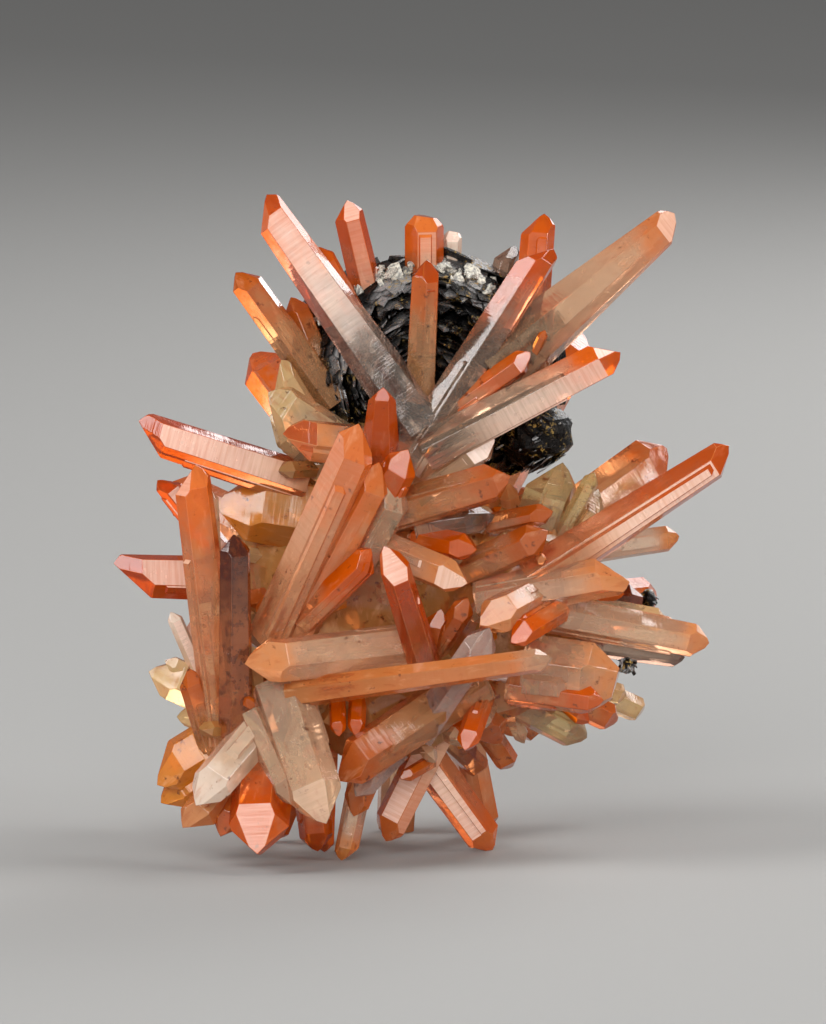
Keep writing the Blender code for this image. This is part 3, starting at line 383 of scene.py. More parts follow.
def crystalSolid(shape, share=1.0, shift=(0, 0, 0), edgeWidth=None, baseUp=0.0):
    # One closed crystal with worn edges. Gives its corners in the frame, its faces as corner
    # lists with the plane each lies in, and each corner's place in the crystal.
    edgeWidth = quartz["edgeWidth"] if edgeWidth is None else edgeWidth
    peak, length = shape["peak"], shape["length"]
    normals, reaches = crystalPlanes(shape, length - peak - baseUp, share, shift)
    if shape["blunt"]:
        broken = unit(np.array([0.15, -0.1, 1.0]))
        normals = np.vstack([normals, broken])
        reaches = np.append(reaches, broken[2] * (peak - shape["blunt"]))
    corners, on, faces = roomInside(normals, reaches)
    if edgeWidth:
        # each edge gets a narrow plane half way between its two faces
        shared = on.T.astype(int) @ on.astype(int)
        one, two = np.nonzero(np.triu(shared, 1) >= 2)
        kept = (one != basePlane) & (two != basePlane)
        one, two = one[kept], two[kept]
        middle = unit(normals[one] + normals[two])
        half = np.arccos(np.clip(np.einsum("ij,ij->i", normals[one], normals[two]), -1, 1)) / 2
        worn = (corners @ middle.T).max(0) - edgeWidth / 2 * np.tan(half)
        normals, reaches = np.vstack([normals, middle]), np.append(reaches, worn)
        corners, on, faces = roomInside(normals, reaches)
    drop = np.array([0, 0, length - peak])
    if shape.get("flat"):
        # a foot that is cut level with the ground
        ground = -shape["ways"][:, 2]
        normals = np.vstack([normals, ground])
        reaches = np.append(reaches, shape["base"][2] + shape["lift"] - ground @ drop)
        corners, on, faces = roomInside(normals, reaches)
    local = corners + drop
    world = shape["base"] + local @ shape["ways"]
    # the crystal's own directions are left-handed, so each ring is turned round
    return world, [(plane, ring[::-1]) for plane, ring in faces], local, normals


def massSolid(name, middle, size):
    # A lump of massive quartz, broken all round: a ball cut by many planes at uneven distances,
    # then stretched to its size. Gives corners and faces like a crystal's.
    luck = np.random.default_rng(sum(map(ord, name)))
    count = quartz["massFaces"]
    step = np.arange(count)
    height = 1 - (2 * step + 1) / count
    turn = np.pi * (3 - 5 ** 0.5) * step
    ring = np.sqrt(1 - height ** 2)
    around = np.column_stack([ring * np.cos(turn), ring * np.sin(turn), height])
    around = unit(around + luck.normal(size=around.shape) * 0.12)
    across, up, back = size
    cuts = around / (np.array([across, back, up]) / 2)
    cutLength = np.linalg.norm(cuts, axis=1)
    reaches = luck.uniform(0.93, 1.05, count) / cutLength
    corners, on, faces = roomInside(cuts / cutLength[:, None], reaches)
    return placed(middle) + corners, faces


def writeMesh(name, world, faces, grain, zone, frostSheenAndShade, edge, dirt, tint):
    # puts corners and faces into a mesh, with what the stain and the growth lines follow
    mesh = bpy.data.meshes.new(name)
    mesh.from_pydata((world * layout["mm"]).tolist(), [], [ring.tolist() for _, ring in faces])
    grainMap = mesh.uv_layers.new(name="grain")
    grainMap.uv.foreach_set("vector", grain.astype(np.float32).ravel())
    zoneMap = mesh.uv_layers.new(name="zone")
    zoneMap.uv.foreach_set("vector", np.column_stack([zone, frostSheenAndShade]).astype(np.float32).ravel())
    edgeMap = mesh.uv_layers.new(name="edge")
    across = np.column_stack([edge, np.full(len(edge), dirt)])
    edgeMap.uv.foreach_set("vector", across.astype(np.float32).ravel())
    for key, colour in zip(("tipTint", "bodyTint"), tint):
        layer = mesh.color_attributes.new(name=key, type="FLOAT_COLOR", domain="CORNER")
        layer.data.foreach_set("color", np.tile(colour, len(grain)).astype(np.float32))
    return bpy.data.objects.new(name, mesh)


def lookTint(look, luck, spread=0.10):
    # a look's two colours, each crystal a little lighter or darker than the next
    tip, body, clearTip, clearBody, reach, dirt = looks[look]
    tints = []
    for colour, clear in ((tip, clearTip), (body, clearBody)):
        tints.append(np.array(linear(colour, clear)) * [*[1 + luck.uniform(-spread, spread)] * 3, 1])
    return tints, reach * (1 + luck.uniform(-0.25, 0.25)), dirt


def crystalMesh(shape, label, share=1.0, shift=(0, 0, 0), edgeWidth=None, baseUp=0.0):
    world, faces, local, normals = crystalSolid(shape, share, shift, edgeWidth, baseUp)
    world = world + [0, 0, shape.get("lift", 0.0)]
    tints, reach, dirt = lookTint(shape["look"], shape["luck"])
    frosted = frostSheenAndShadeFaces.get(shape["name"], {})
    ring = np.concatenate([ids for _, ids in faces])
    plane = np.concatenate([np.full(len(ids), number) for number, ids in faces])
    sideways = unit(np.cross(normals, (0.02, 0.01, 1.0)))
    acrossFace = np.einsum("ij,ij->i", local[ring], sideways[plane])
    # where each corner is between the two sides of its face, -1 to 1
    low, high = np.full(len(normals), 1e9), np.full(len(normals), -1e9)
    np.minimum.at(low, plane, acrossFace)
    np.maximum.at(high, plane, acrossFace)
    edge = (2 * acrossFace - low[plane] - high[plane]) / np.maximum(high - low, 0.01)[plane]
    fromTip = shape["length"] - local[ring, 2]
    group = ["sides"] * 6 + ["ends"] * 6 + ["none"] * len(normals)
    frostSheenAndShade = np.array([frosted.get(number, frosted.get(group[number], 0.0))
                      for number in range(len(normals))])
    # sides that stand edge on to the front or back are painted deeper, and sides facing them a little
    # paler: painted shade and sheen by how each side faces the front, for the look through more stain
    frostSheenAndShade += quartz["paintedSideShade"] * (1 - np.abs(normals @ shape["ways"])[:, 1] * 1.25)
    frostSheenAndShade[basePlane] = 0
    return writeMesh(label, world, faces, np.column_stack([acrossFace, fromTip]),
                     fromTip / reach, frostSheenAndShade[plane], edge, dirt, tints)


def growths(shape, count):
    # parallel growths: narrower crystals that stand a little out of the sides, at other lengths
    luck = shape["luck"]
    made = []
    for number in range(count):
        share = luck.uniform(0.35, 0.62)
        turn = luck.uniform(0, 2 * np.pi)
        out = shape["wide"] * (0.5 - 0.5 * share) + luck.uniform(0.02, 0.07) * shape["wide"]
        drop = shape["length"] * luck.uniform(0.04, 0.6)
        shift = (np.sin(turn) * out, np.cos(turn) * out, -drop)
        label = f"{shape['name']}_growth_{number}"
        made.append(crystalMesh(shape, label, share, shift, 0.0, luck.uniform(0.2, 0.6)))
    return made


def joined(name, pieces):
    # one closed solid out of many that grow into one another
    operands = bpy.data.collections.new("operands")
    bpy.context.scene.collection.children.link(operands)
    first = pieces[0]
    bpy.context.scene.collection.objects.link(first)
    for piece in pieces[1:]:
        operands.objects.link(piece)
    step = first.modifiers.new("join", "BOOLEAN")
    step.operation, step.solver = "UNION", "EXACT"
    step.operand_type, step.collection = "COLLECTION", operands
    graph = bpy.context.evaluated_depsgraph_get()
    mesh = bpy.data.meshes.new_from_object(first.evaluated_get(graph))
    for piece in pieces:
        bpy.data.objects.remove(piece)
    bpy.data.collections.remove(operands)
    mesh.name = name
    result = bpy.data.objects.new(name, mesh)
    bpy.context.scene.collection.objects.link(result)
    return result


def studdedRows(small):
    # rows for small crystals spread over the back or the front of the masses
    rows = {}
    for mass, count in small["counts"].items():
        middle, size = masses[mass]
        luck = Random(mass)
        for i in range(count):
            toBack = 1 - (i + 0.5) / count * 0.9
            side = (1 - toBack ** 2) ** 0.5
            turn = small["turn"] * i + luck.uniform(-0.3, 0.3)
            away = (side * np.cos(turn), side * np.sin(turn), toBack * small["way"])
            out = luck.uniform(*small["out"])
            wide = luck.uniform(*small["wide"])
            tip = tuple(m + (s / 2 + out) * a for m, s, a in zip(middle, size, away))
            root = tuple(m + s / 4 * a for m, s, a in zip(middle, size, away))
            if small is not smallAtBack:
                tip = tuple(value + luck.uniform(-2.2, 2.2) for value in tip)
            roll = 60 * luck.random()
            look = small["looks"][i % len(small["looks"])]
            label = f"{mass}_small_{round(small['turn'], 2)}_{small['way']}_{i}"
            rows[label] = (tip, root, wide, wide, roll, 0, small["slant"], 0.6, 0, look)
    return rows


def addNode(tree, kind, inputs=(), output=0, **settings):
    # Adds a node with its settings. Each input is a plain value or the socket that is linked to
    # it, in the node's own order or by name or number. Gives one of the node's outputs.
    node = tree.nodes.new("ShaderNode" + kind)
    for key, value in settings.items():
        setattr(node, key, value)
    for key, value in inputs.items() if isinstance(inputs, dict) else enumerate(inputs):
        if isinstance(value, bpy.types.NodeSocket):
            tree.links.new(value, node.inputs[key])
        else:
            node.inputs[key].default_value = value
    return node.outputs[output] if node.outputs else None


def newMaterial(name):
    material = bpy.data.materials.new(name)
    material.use_nodes = True
    material.node_tree.nodes.clear()
    return material, material.node_tree


# how a Mix node blends colours, and how a Map Range node eases or doesn't
paint = {"output": 2, "data_type": "RGBA"}
eased = {"interpolation_type": "SMOOTHSTEP"}
times, plus, minus = {"operation": "MULTIPLY"}, {"operation": "ADD"}, {"operation": "SUBTRACT"}


def quartzMaterial():
    # Quartz, grown in water and stained by iron: a glassy surface with fine growth lines across
    # the sides, orange towards the tips and clear or peach further down, with milky veils.
    material, tree = newMaterial("iron_stained_quartz")
    place = addNode(tree, "TexCoord", output="Object")
    grain = addNode(tree, "UVMap", uv_map="grain")
    zone = addNode(tree, "UVMap", uv_map="zone")
    fromTip = addNode(tree, "SeparateXYZ", [zone])
    frostSheenAndShade = fromTip.node.outputs[1]
    tip = addNode(tree, "Attribute", output="Color", attribute_name="tipTint")
    body = addNode(tree, "Attribute", output="Color", attribute_name="bodyTint")

    cloud = addNode(tree, "TexNoise", {"Vector": place, "Scale": 260.0, "Detail": 3.0, "Roughness": 0.6})
    uneven = addNode(tree, "Math", [cloud, 1.5, -0.75], operation="MULTIPLY_ADD")
    reach = addNode(tree, "Math", [fromTip, uneven], **plus)
    down = addNode(tree, "MapRange", [reach, 0.25, 1.15], **eased)
    colour = addNode(tree, "Mix", {0: down, 6: tip, 7: body}, **paint)
    clearTip = addNode(tree, "Math", [1.0, down], **minus)
    clearTip = addNode(tree, "Math", [tip.node.outputs["Alpha"], clearTip], **times)
    clearBody = addNode(tree, "Math", [body.node.outputs["Alpha"], down], **times)
    clear = addNode(tree, "Math", [clearTip, clearBody], **plus)

    # milky veils and iron-rich patches, 2 to 4 mm across and drawn out along the crystal
    stretched = addNode(tree, "Mapping", {"Vector": grain, "Scale": (0.50, 0.20, 1.0)})
    veil = addNode(tree, "TexNoise", {"Vector": stretched, "Scale": 1.0, "Detail": 4.0,
                                      "Roughness": 0.62, "Distortion": 0.4})
    acrossFace = addNode(tree, "SeparateXYZ", [addNode(tree, "UVMap", uv_map="edge")])
    dirt = acrossFace.node.outputs[1]
    clean = addNode(tree, "MapRange", [dirt, 0.4, 1.6, 1.0, 0.1], **eased)
    pale = addNode(tree, "MapRange", [veil, 0.52, 0.74], **eased)
    pale = addNode(tree, "Math", [pale, clean], **times)
    milk = addNode(tree, "Math", [pale, 0.5], **times)
    colour = addNode(tree, "Mix", {0: milk, 6: colour, 7: linear("#ECC096")}, **paint)
    deep = addNode(tree, "MapRange", [veil, 0.46, 0.30], **eased)
    deep = addNode(tree, "Math", [deep, 0.55], **times)
    colour = addNode(tree, "Mix", {0: deep, 6: colour, 7: linear("#BE5210")}, **paint)
    # the stain is deepest along the edges of the sides, where the rim of each face is orange
    rim = addNode(tree, "Math", [acrossFace, 0.0], operation="ABSOLUTE")
    waver = addNode(tree, "Math", [uneven, 0.5], **times)
    rim = addNode(tree, "Math", [rim, waver], **plus)
    rim = addNode(tree, "MapRange", [rim, 0.55, 1.05], **eased)
    nearTip = addNode(tree, "MapRange", [reach, 1.9, 0.3], **eased)
    rim = addNode(tree, "Math", [rim, nearTip], **times)
    rim = addNode(tree, "Math", [rim, 0.75], **times)
    colour = addNode(tree, "Mix", {0: rim, 6: colour, 7: tip}, **paint)
    # rusty specks and patches under the faces, a millimetre and less
    speck = addNode(tree, "TexNoise", {"Vector": place, "Scale": 800.0, "Detail": 3.0, "Roughness": 0.6})
    more = addNode(tree, "Math", [dirt, 0.09], **times)
    speck = addNode(tree, "Math", [speck, more], **plus)
    speck = addNode(tree, "MapRange", [speck, 0.65, 0.77], **eased)
    speck = addNode(tree, "Math", [speck, 0.8], **times)
    colour = addNode(tree, "Mix", {0: speck, 6: colour, 7: linear("#6A3010")}, **paint)
    # some faces are frosted and painted pale near the tip, in faint streaks, a painted sheen for light
    # they would mirror, and others are painted deeper, a painted shade
    tipDistance = addNode(tree, "SeparateXYZ", [grain], 1)
    fading = addNode(tree, "MapRange", [tipDistance, 25.0, 15.0], **eased)
    frostAndSheen = addNode(tree, "MapRange", [frostSheenAndShade, 0.0, 1.0])
    frostAndSheen = addNode(tree, "Math", [frostAndSheen, fading], **times)
    # growth lines across the sides every half millimetre
    lined = addNode(tree, "Mapping", {"Vector": grain, "Scale": (0.12, 2.2, 1.0)})
    lines = addNode(tree, "TexNoise", {"Vector": lined, "Scale": 1.0, "Detail": 2.0, "Roughness": 0.7})
    streaks = addNode(tree, "MapRange", [lines, 0.35, 0.6, 0.82, 1.0], **eased)
    frostAndSheen = addNode(tree, "Math", [frostAndSheen, streaks], **times)
    # painted sheen: a pale pink colour laid on these faces for the light they would mirror
    paintedSheenMix = addNode(tree, "Math", [frostAndSheen, 0.8], **times)
    colour = addNode(tree, "Mix", {0: paintedSheenMix, 6: colour, 7: linear("#F4D4C2")}, **paint)
    # painted shade: faces marked negative, with sides seen edge on, are painted deeper orange near the
    # tip
    paintedDeepShade = addNode(tree, "MapRange", [frostSheenAndShade, 0.0, -1.0])
    stain = addNode(tree, "MapRange", [reach, 3.0, 0.6, 0.12, 1.0], **eased)
    paintedDeepShade = addNode(tree, "Math", [paintedDeepShade, stain], **times)
    paintedDeepShade = addNode(tree, "Math", [paintedDeepShade, 0.9], **times)
    colour = addNode(tree, "Mix", {0: paintedDeepShade, 6: colour, 7: linear("#C24400")}, **paint)
    # frost and veils let less light through
    unfrosted = addNode(tree, "MapRange", [frostAndSheen, 0.0, 1.0, 1.0, 0.25])
    clear = addNode(tree, "Math", [clear, unfrosted], **times)
    unveiled = addNode(tree, "MapRange", [pale, 0.0, 1.0, 1.0, 0.7])
    clear = addNode(tree, "Math", [clear, unveiled], **times)

    # etched patches of 1 mm and less, a little rougher
    etched = addNode(tree, "TexNoise", {"Vector": place, "Scale": 700.0, "Detail": 2.0})
    # the faces swell and dip a little over 5 mm, so that a light breaks up on them
    swell = addNode(tree, "TexNoise", {"Vector": place, "Scale": 190.0, "Detail": 1.0})
    relief = addNode(tree, "Bump", {"Strength": 1.0, "Distance": 0.00025, "Height": swell})
    relief = addNode(tree, "Bump", {"Strength": 0.25, "Distance": 0.0001, "Height": lines,
                                    "Normal": relief})
    rough = addNode(tree, "MapRange", [etched, 0.3, 0.7, 0.04, 0.14])
    frostRough = addNode(tree, "MapRange", [frostAndSheen, 0.0, 1.0, 0.0, 0.16])
    rough = addNode(tree, "Math", [rough, frostRough], **plus)
    shader = addNode(tree, "BsdfPrincipled", {
        "Base Color": colour, "Roughness": rough, "Normal": relief, "Transmission Weight": clear,
        "IOR": 1.544, "Specular IOR Level": 0.3})
    dim = addNode(tree, "VolumeAbsorption", {"Color": linear("#F2A868"), "Density": 18.0})
    addNode(tree, "OutputMaterial", {"Surface": shader, "Volume": dim})
    return material


def quartzCluster():
    rows = {**upperFan, **leftFan, **centre, **rightFan, **lowerFan, **backFan}
    for small in (smallAtBack, smallBetween, smallInRecesses):
        rows.update(studdedRows(small))
    pieces = []
    for name, (middle, size) in masses.items():
        world, faces = massSolid(name, middle, size)
        ring = np.concatenate([ids for _, ids in faces])
        plane = np.concatenate([np.full(len(ids), number) for number, ids in faces])
        frostSheenAndShade = np.random.default_rng(len(name)).uniform(-0.4, 0.3, quartz["massFaces"])[plane]
        tints, _, dirt = lookTint("heart", Random(name))
        none = np.zeros(len(ring))
        pieces.append(writeMesh(name, world, faces, world[ring][:, [0, 2]], none + 1.2, frostSheenAndShade, none,
                                dirt, tints))
    for name, row in rows.items():
        shape = crystalShape(name, row)
        if name in quartz["feet"]:
            world = crystalSolid(shape, edgeWidth=0)[0]
            shape["flat"] = name == "flat_foot"
            shape["lift"] = -world[:, 2].min() - (quartz["flatSpot"] if shape["flat"] else 0.0)
        seen = name not in backFan and "_small_" not in name
        pieces.append(crystalMesh(shape, name, edgeWidth=None if seen else 0.0))
        if shape["length"] > quartz["ridgeFrom"]:
            pieces += growths(shape, quartz["ridges"] if seen else 0)
    print("quartz solids", len(pieces))
    return joined("quartz_crystals", pieces)


quartzFinish = quartzMaterial()
cluster = quartzCluster()
cluster.data.materials.clear()
cluster.data.materials.append(quartzFinish)
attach(cluster, "root")
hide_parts("quartz_cluster")
print("cluster corners", len(cluster.data.vertices))

for name, row in crown.items():
    shape = crystalShape(name, row)
    piece = joined(name + "_crystal", [crystalMesh(shape, name)] + growths(shape, 2))
    piece.data.materials.clear()
    piece.data.materials.append(quartzFinish)
    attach(piece, "root")
    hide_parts(name)
print("crown crystals done")

# Hematite: thin plates that stand in shells round a line to the front, their front edges on a dome.
rosette = {
    "middle": (0.2, 60.6, 9.5),       # across, up and back, as for the crystals
    "reach": (15.4, 13.8, 9.6),       # from the middle: across, up and back, mm
    "rings": np.arange(1.6, 15.3, 0.62),
    "plateWide": 5.2,                 # mm, as are the next two
    "plateLong": (3.0, 7.0),
    "thick": (0.16, 0.34),
    "core": 0.86,                     # the solid middle, as a share of the reach
    "lobe": (13.6, 53.4, 6.0),        # the part at the lower right
    "lobeReach": (5.4, 4.6, 4.8),
    "rim": 130,                       # small pale plates on top
}


def curvedPlates(middles, outward, sideways, deep, wide, long, radius, thick, luck):
    # Many curved plates at once. Each is a sheet on two parameters, u round its bend and v from
    # its front edge to its back one: a point lies at the bend's radius from its axis, its front
    # edge is ragged by a sine of u, and an inner sheet lies one thickness below. Rims join both.
    count, across, along = len(middles), 7, 4
    u, v = np.meshgrid(np.linspace(-0.5, 0.5, across), np.linspace(0, 1, along), indexing="ij")
    u, v = u.ravel()[None, :, None], v.ravel()[None, :, None]
    phase = luck.uniform(0, 6, (count, 1, 1))
    turn = u * (wide / radius)[:, None, None]
    ragged = 0.22 * np.sin(u * 9 + phase) + 0.14 * np.sin(u * 23 + 2 * phase) - 1.1 * u ** 2
    depth = (v - ragged * (1 - v) - 0.15) * long[:, None, None]
    curl = 0.10 * np.sin(v * 3 + phase) * wide[:, None, None]
    out, side, back = outward[:, None], sideways[:, None], deep[:, None]
    bend = radius[:, None, None]
    sheet = (middles[:, None] + back * depth + side * bend * np.sin(turn)
             + out * (bend * (np.cos(turn) - 1) + curl * 0.3))
    normal = out * np.cos(turn) + side * np.sin(turn)
    thin = thick[:, None, None] * (1 - 0.6 * (2 * u) ** 4)
    corners = np.concatenate([sheet + normal * thin / 2, sheet - normal * thin / 2], 1)
    grid = np.arange(across * along).reshape(across, along)
    top = np.stack([grid[:-1, :-1], grid[1:, :-1], grid[1:, 1:], grid[:-1, 1:]], -1).reshape(-1, 4)
    rim = np.concatenate([grid[:-1, 0], grid[-1, :-1], grid[:0:-1, -1], grid[0, :0:-1]])
    rimNext = np.roll(rim, -1)
    half = across * along
    sides = np.stack([rim, rim + half, rimNext + half, rimNext], -1)
    one = np.concatenate([top, top[:, ::-1] + half, sides])
    faces = (one[None] + (np.arange(count) * 2 * half)[:, None, None]).reshape(-1, 4)
    return corners.reshape(-1, 3), faces, 2 * half


def platesMesh(name, parts):
    # parts: corners, faces and a tint (pale, glint) for each corner
    corners, faces, tints, start = [], [], [], 0
    for points, quads, tint in parts:
        corners.append(points)
        faces.append(quads + start)
        tints.append(tint)
        start += len(points)
    corners, tints = np.vstack(corners), np.vstack(tints)
    mesh = bpy.data.meshes.new(name)
    mesh.from_pydata((corners * layout["mm"]).tolist(), [], np.vstack(faces).tolist())
    layer = mesh.color_attributes.new(name="plateTint", type="FLOAT_COLOR", domain="POINT")
    filled = np.column_stack([tints, np.zeros(len(tints)), np.ones(len(tints))])
    layer.data.foreach_set("color", filled.astype(np.float32).ravel())
    piece = bpy.data.objects.new(name, mesh)
    bpy.context.scene.collection.objects.link(piece)
    return piece


def ball(middle, reach, luck, shrink=1.0):
    # an uneven ball on latitude and longitude, as quads; the poles are small closed rings
    rows, columns = 16, 28
    latitude, longitude = np.meshgrid(np.pi * (np.arange(rows) + 0.02) / (rows - 0.96),
                                      2 * np.pi * np.arange(columns) / columns, indexing="ij")
    around = np.stack([np.sin(latitude) * np.cos(longitude), np.sin(latitude) * np.sin(longitude),
                       np.cos(latitude)], -1).reshape(-1, 3)
    uneven = 1 + 0.04 * np.sin(around @ luck.normal(size=3) * 4)
    uneven = uneven + 0.03 * np.sin(around @ luck.normal(size=3) * 9)
    across, up, back = reach
    points = middle + around * [across, back, up] * (uneven * shrink)[:, None]
    grid = np.arange(rows * columns).reshape(rows, columns)
    beside = np.roll(grid, -1, 1)
    quads = np.stack([grid[:-1], grid[1:], beside[1:], beside[:-1]], -1).reshape(-1, 4)
    i = np.arange(columns // 2 - 1)
    caps = [np.stack([ring[i], ring[i + 1], ring[-2 - i], ring[-1 - i]], -1)
            for ring in (grid[0], grid[-1][::-1])]
    return points, np.vstack([quads, *caps])


def domePlates(middle, reach, rings, luck, front, share=1.0):
    # plates of nested shells whose outer edges lie on an ellipsoid, on its front or its back half
    across, up, back = reach
    rows = []
    for ring in rings:
        count = max(3, int(round(2 * np.pi * ring / rosette["plateWide"] * 1.25 * share)))
        turn = 2 * np.pi * (np.arange(count) + luck.uniform(-0.35, 0.35, count)) / count
        turn += luck.uniform(0, 6)
        rows.append(np.column_stack([np.full(count, ring) + luck.uniform(-0.3, 0.3, count), turn]))
    ring, turn = np.vstack(rows).T
    count = len(ring)
    way = -1 if front else 1
    dome = back * np.sqrt(np.maximum(1 - (ring / (across + 0.3)) ** 2, 0.0))
    start = way * (dome + luck.uniform(-0.7, 0.25, count))
    squash = up / across
    middles = middle + np.column_stack([ring * np.cos(turn), start, ring * squash * np.sin(turn)])
    tilt = luck.uniform(-1, 1, (count, 3)) * (0.10 if front else 0.35)
    flare = way * (0.10 + 0.5 * (ring / across) ** 3)
    outward = unit(np.column_stack([np.cos(turn), flare, np.sin(turn)]) + tilt)
    deep = np.tile([0.0, -way, 0.0], (count, 1)) + luck.uniform(-0.10, 0.10, (count, 3))
    sideways = unit(np.cross(deep, outward))
    deep = unit(np.cross(outward, sideways))
    wide = rosette["plateWide"] * luck.uniform(0.7, 1.5, count)
    long = np.minimum(luck.uniform(*rosette["plateLong"], count), dome + 2.5)
    radius = np.maximum(ring, 2.2) * luck.uniform(0.9, 1.5, count)
    thick = luck.uniform(*rosette["thick"], count)
    points, quads, each = curvedPlates(middles, outward, sideways, deep, wide, long, radius, thick, luck)
    # the plates at the upper left are painted light grey as glints where the light from there would catch
    # them, a painted highlight
    lit = np.clip(0.30 + 0.85 * np.cos(turn - np.radians(125)), 0.12, 1)
    glint = np.repeat(luck.random(count) * lit, each)
    return points, quads, np.column_stack([np.zeros(len(points)), glint])


def hematiteMaterial():
    # Hematite in thin plates: black metal with grey glints along the edges, painted highlights that make
    # the glint plates light grey and less metallic, dusted with golden and olive iron crust; the small
    # plates on top are pale mica-like ones.
    material, tree = newMaterial("platy_hematite")
    place = addNode(tree, "TexCoord", output="Object")
    tint = addNode(tree, "Attribute", output="Color", attribute_name="plateTint")
    pale = addNode(tree, "SeparateColor", [tint])
    glint = pale.node.outputs[1]
    broad = addNode(tree, "TexNoise", {"Vector": place, "Scale": 420.0, "Detail": 5.0})
    fine = addNode(tree, "TexNoise", {"Vector": place, "Scale": 2300.0, "Detail": 4.0,
                                      "Roughness": 0.65})
    # painted glint: the more a plate glints, the lighter grey it is painted
    bright = addNode(tree, "Math", [glint, 1.5], operation="POWER")
    colour = addNode(tree, "Mix", {0: bright, 6: linear("#1F1D1C"), 7: linear("#A9A7A6")}, **paint)
    patches = addNode(tree, "MapRange", [broad, 0.48, 0.62], **eased)
    crust = addNode(tree, "MapRange", [fine, 0.54, 0.60], **eased)
    crust = addNode(tree, "Math", [patches, crust], **times)
    gold = addNode(tree, "Math", [crust, 0.9], **times)
    colour = addNode(tree, "Mix", {0: gold, 6: colour, 7: linear("#A8863A")}, **paint)
    mottle = addNode(tree, "MapRange", [fine, 0.35, 0.65], **eased)
    white = addNode(tree, "Mix", {0: mottle, 6: linear("#8F8C86"), 7: linear("#EDE8D6")}, **paint)
    colour = addNode(tree, "Mix", {0: pale, 6: colour, 7: white}, **paint)
    uncrusted = addNode(tree, "Math", [1.0, crust], **minus)
    dark = addNode(tree, "Math", [1.0, pale], **minus)
    metal = addNode(tree, "Math", [uncrusted, dark], **times)
    dull = addNode(tree, "MapRange", [glint, 0.3, 1.0, 1.0, 0.4], **eased)
    metal = addNode(tree, "Math", [metal, dull], **times)
    rough = addNode(tree, "MapRange", [fine, 0.3, 0.7, 0.16, 0.42])
    crustRough = addNode(tree, "Math", [crust, 0.3], **times)
    rough = addNode(tree, "Math", [rough, crustRough], **plus)
    relief = addNode(tree, "Bump", {"Strength": 0.6, "Distance": 0.0002, "Height": fine})
    shader = addNode(tree, "BsdfPrincipled", {"Base Color": colour, "Metallic": metal,
                                              "Roughness": rough, "Normal": relief})
    addNode(tree, "OutputMaterial", {"Surface": shader})
    return material


def hematiteRosette():
    luck = np.random.default_rng(61)
    middle = placed(rosette["middle"])
    parts = [domePlates(middle, rosette["reach"], rosette["rings"], luck, True),
             domePlates(middle, rosette["reach"], rosette["rings"][::2], luck, False, 0.8)]
    points, quads = ball(middle, rosette["reach"], luck, rosette["core"])
    parts.append((points, quads, np.zeros((len(points), 2))))
    # the lobe at the lower right: flat plates in one tilted stack
    lobe = placed(rosette["lobe"])
    points, quads = ball(lobe, rosette["lobeReach"], luck, 0.9)
    parts.append((points, quads, np.zeros((len(points), 2))))
    count = 90
    level = luck.uniform(-1, 1, count)
    facing = unit(np.array([-0.55, 0.1, 0.83]))
    flatness = np.sqrt(1 - (level * 0.9) ** 2)
    spot = luck.uniform(0, 2 * np.pi, count)
    along = unit(np.cross(facing, [0, 1, 0]))
    other = np.cross(facing, along)
    ring = flatness * luck.uniform(0.55, 0.95, count)
    spread = along * (np.cos(spot) * ring)[:, None] + other * (np.sin(spot) * ring)[:, None]
    middles = lobe + facing * (level * 4.3)[:, None] + spread * 4.3
    deep = unit(-spread + luck.uniform(-0.1, 0.1, (count, 3)))
    outward = unit(facing + luck.uniform(-0.10, 0.10, (count, 3)))
    sideways = unit(np.cross(deep, outward))
    deep = unit(np.cross(outward, sideways))
    points, quads, each = curvedPlates(middles, outward, sideways, deep, luck.uniform(2.4, 4.4, count),
                                       luck.uniform(2.0, 4.0, count), np.full(count, 9.0),
                                       luck.uniform(0.14, 0.3, count), luck)
    glint = np.repeat(luck.uniform(0.1, 0.8, count), each)
    parts.append((points, quads, np.column_stack([np.zeros(len(points)), glint])))
    # small pale and grey plates along the top rim, on the dome itself
    count = rosette["rim"]
    turn = np.radians(np.linspace(40, 148, count) + luck.uniform(-2, 2, count))
    across, up, back = rosette["reach"]
    share = luck.uniform(0.97, 1.03, count)
    front = luck.uniform(-3.4, 0.4, count)
    middles = middle + np.column_stack([across * share * np.cos(turn), front, up * share * np.sin(turn)])
    outward = unit(np.column_stack([np.cos(turn), np.full(count, -0.7), np.sin(turn)])
                   + luck.uniform(-0.6, 0.6, (count, 3)))
    deep = unit(np.cross(outward, luck.normal(size=(count, 3))))
    sideways = unit(np.cross(deep, outward))
    points, quads, each = curvedPlates(middles, outward, sideways, deep, luck.uniform(0.8, 2.2, count),
                                       luck.uniform(0.7, 1.6, count), np.full(count, 6.0),
                                       luck.uniform(0.25, 0.6, count), luck)
    pale = np.repeat(luck.uniform(0.5, 1.0, count), each)
    parts.append((points, quads, np.column_stack([pale, pale * 0 + 0.5])))
    return platesMesh("hematite_plates", parts)


hematiteFinish = hematiteMaterial()
plates = hematiteRosette()
plates.data.materials.append(hematiteFinish)
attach(plates, "root")
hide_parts("hematite_rosette")
print("rosette corners", len(plates.data.vertices))

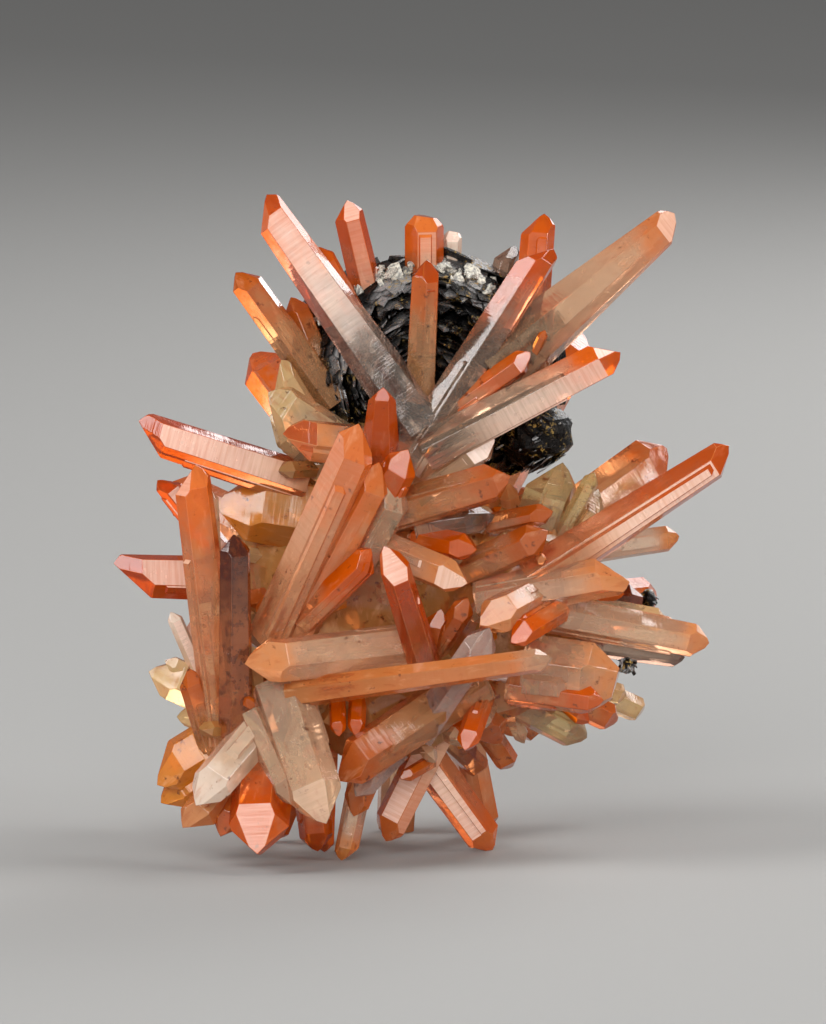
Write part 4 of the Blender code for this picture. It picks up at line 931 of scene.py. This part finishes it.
# Two small pieces at the right: middle and reach.
chips = {
    "hematite_chip_upper": ((28.0, 32.6, 10.8), (1.2, 1.8, 1.9)),
    "hematite_chip_lower": ((25.2, 24.6, 0.8), (1.1, 1.2, 1.4)),
}
for number, (name, (middle, reach)) in enumerate(chips.items()):
    luck = np.random.default_rng(number)
    spot = placed(middle)
    points, quads = ball(spot, reach, luck, 0.75)
    count = 16
    way = unit(luck.normal(size=(count, 3)))
    facing = unit(way + [0.2, -0.4, 0.9])
    deep = unit(np.cross(facing, luck.normal(size=(count, 3))))
    sideways = unit(np.cross(deep, facing))
    across, up, back = reach
    flakes, flakeQuads, each = curvedPlates(spot + way * [across, back, up] * 0.6, facing, sideways,
                                            deep, luck.uniform(0.9, 1.5, count),
                                            luck.uniform(0.8, 1.4, count), np.full(count, 3.0),
                                            np.full(count, 0.16), luck)
    glint = np.repeat(luck.random(count) ** 2, each)
    piece = platesMesh(name + "_plates", [(points, quads, np.zeros((len(points), 2))),
                       (flakes, flakeQuads, np.column_stack([glint * 0, glint]))])
    piece.data.materials.append(hematiteFinish)
    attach(piece, "root")
    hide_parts(name)
print("chips done")

# floor, light and camera
bpy.ops.mesh.primitive_plane_add(size=6)
floor = bpy.context.object
floor.name = "floor"
floorFinish, tree = newMaterial("pale_floor")
matt = addNode(tree, "BsdfPrincipled", {"Base Color": linear("#A09F9D"), "Roughness": 0.9,
                                        "Specular IOR Level": 0.1})
addNode(tree, "OutputMaterial", {"Surface": matt})
floor.data.materials.append(floorFinish)

# Each lamp's place and size, m, and power, W.
studio = {
    "key": ((-0.76, -0.28, 0.60), 0.45, 5.8),
    "front": ((-0.26, -1.60, 0.72), 1.10, 22.0),
    "overhead": ((0.46, 0.02, 0.75), 0.30, 2.8),
    "fill": ((0.80, -0.38, 0.25), 0.30, 3.4),
    "back": ((0.35, 0.60, 0.40), 0.45, 3.2),
}
lookAt = np.array([0, 0, 0.042])
for name, (spot, size, power) in studio.items():
    light = bpy.data.lights.new(name, "AREA")
    light.shape, light.size, light.energy = "SQUARE", size, power
    lamp = bpy.data.objects.new(name, light)
    lamp.location = spot
    lamp.visible_camera = False
    lamp.rotation_euler = Vector(lookAt - np.array(spot)).to_track_quat("-Z", "Y").to_euler()
    bpy.context.scene.collection.objects.link(lamp)
world = bpy.data.worlds.new("studio")
world.use_nodes = True
world.node_tree.nodes["Background"].inputs[0].default_value = (0.19, 0.19, 0.192, 1)
world.node_tree.nodes["Background"].inputs[1].default_value = 1.0
bpy.context.scene.world = world
bpy.context.scene.view_settings.view_transform = "Standard"

# The picture's size and where the specimen's foot is in it, pixels; how far the camera is, mm.
photo = {"width": 826, "height": 1024, "pixelsPerMm": 8.0, "zeroAcross": 425, "zeroUp": 861,
         "far": 2000.0}
cameraData = bpy.data.cameras.new("camera")
camera = bpy.data.objects.new("camera", cameraData)
bpy.context.scene.collection.objects.link(camera)
across = (photo["width"] / 2 - photo["zeroAcross"]) / photo["pixelsPerMm"]
up = (photo["zeroUp"] - photo["height"] / 2) / photo["pixelsPerMm"]
middle = placed((across, up, layout["middleBack"] - 6)) * layout["mm"]
sight = Vector((0, np.cos(layout["sightDown"]), -np.sin(layout["sightDown"])))
camera.location = Vector(middle) - sight * photo["far"] * layout["mm"]
camera.rotation_euler = sight.to_track_quat("-Z", "Y").to_euler()
cameraData.sensor_width = 36
cameraData.lens = 36 * photo["far"] * photo["pixelsPerMm"] / photo["height"]
cameraData.clip_end = 20
bpy.context.scene.camera = camera
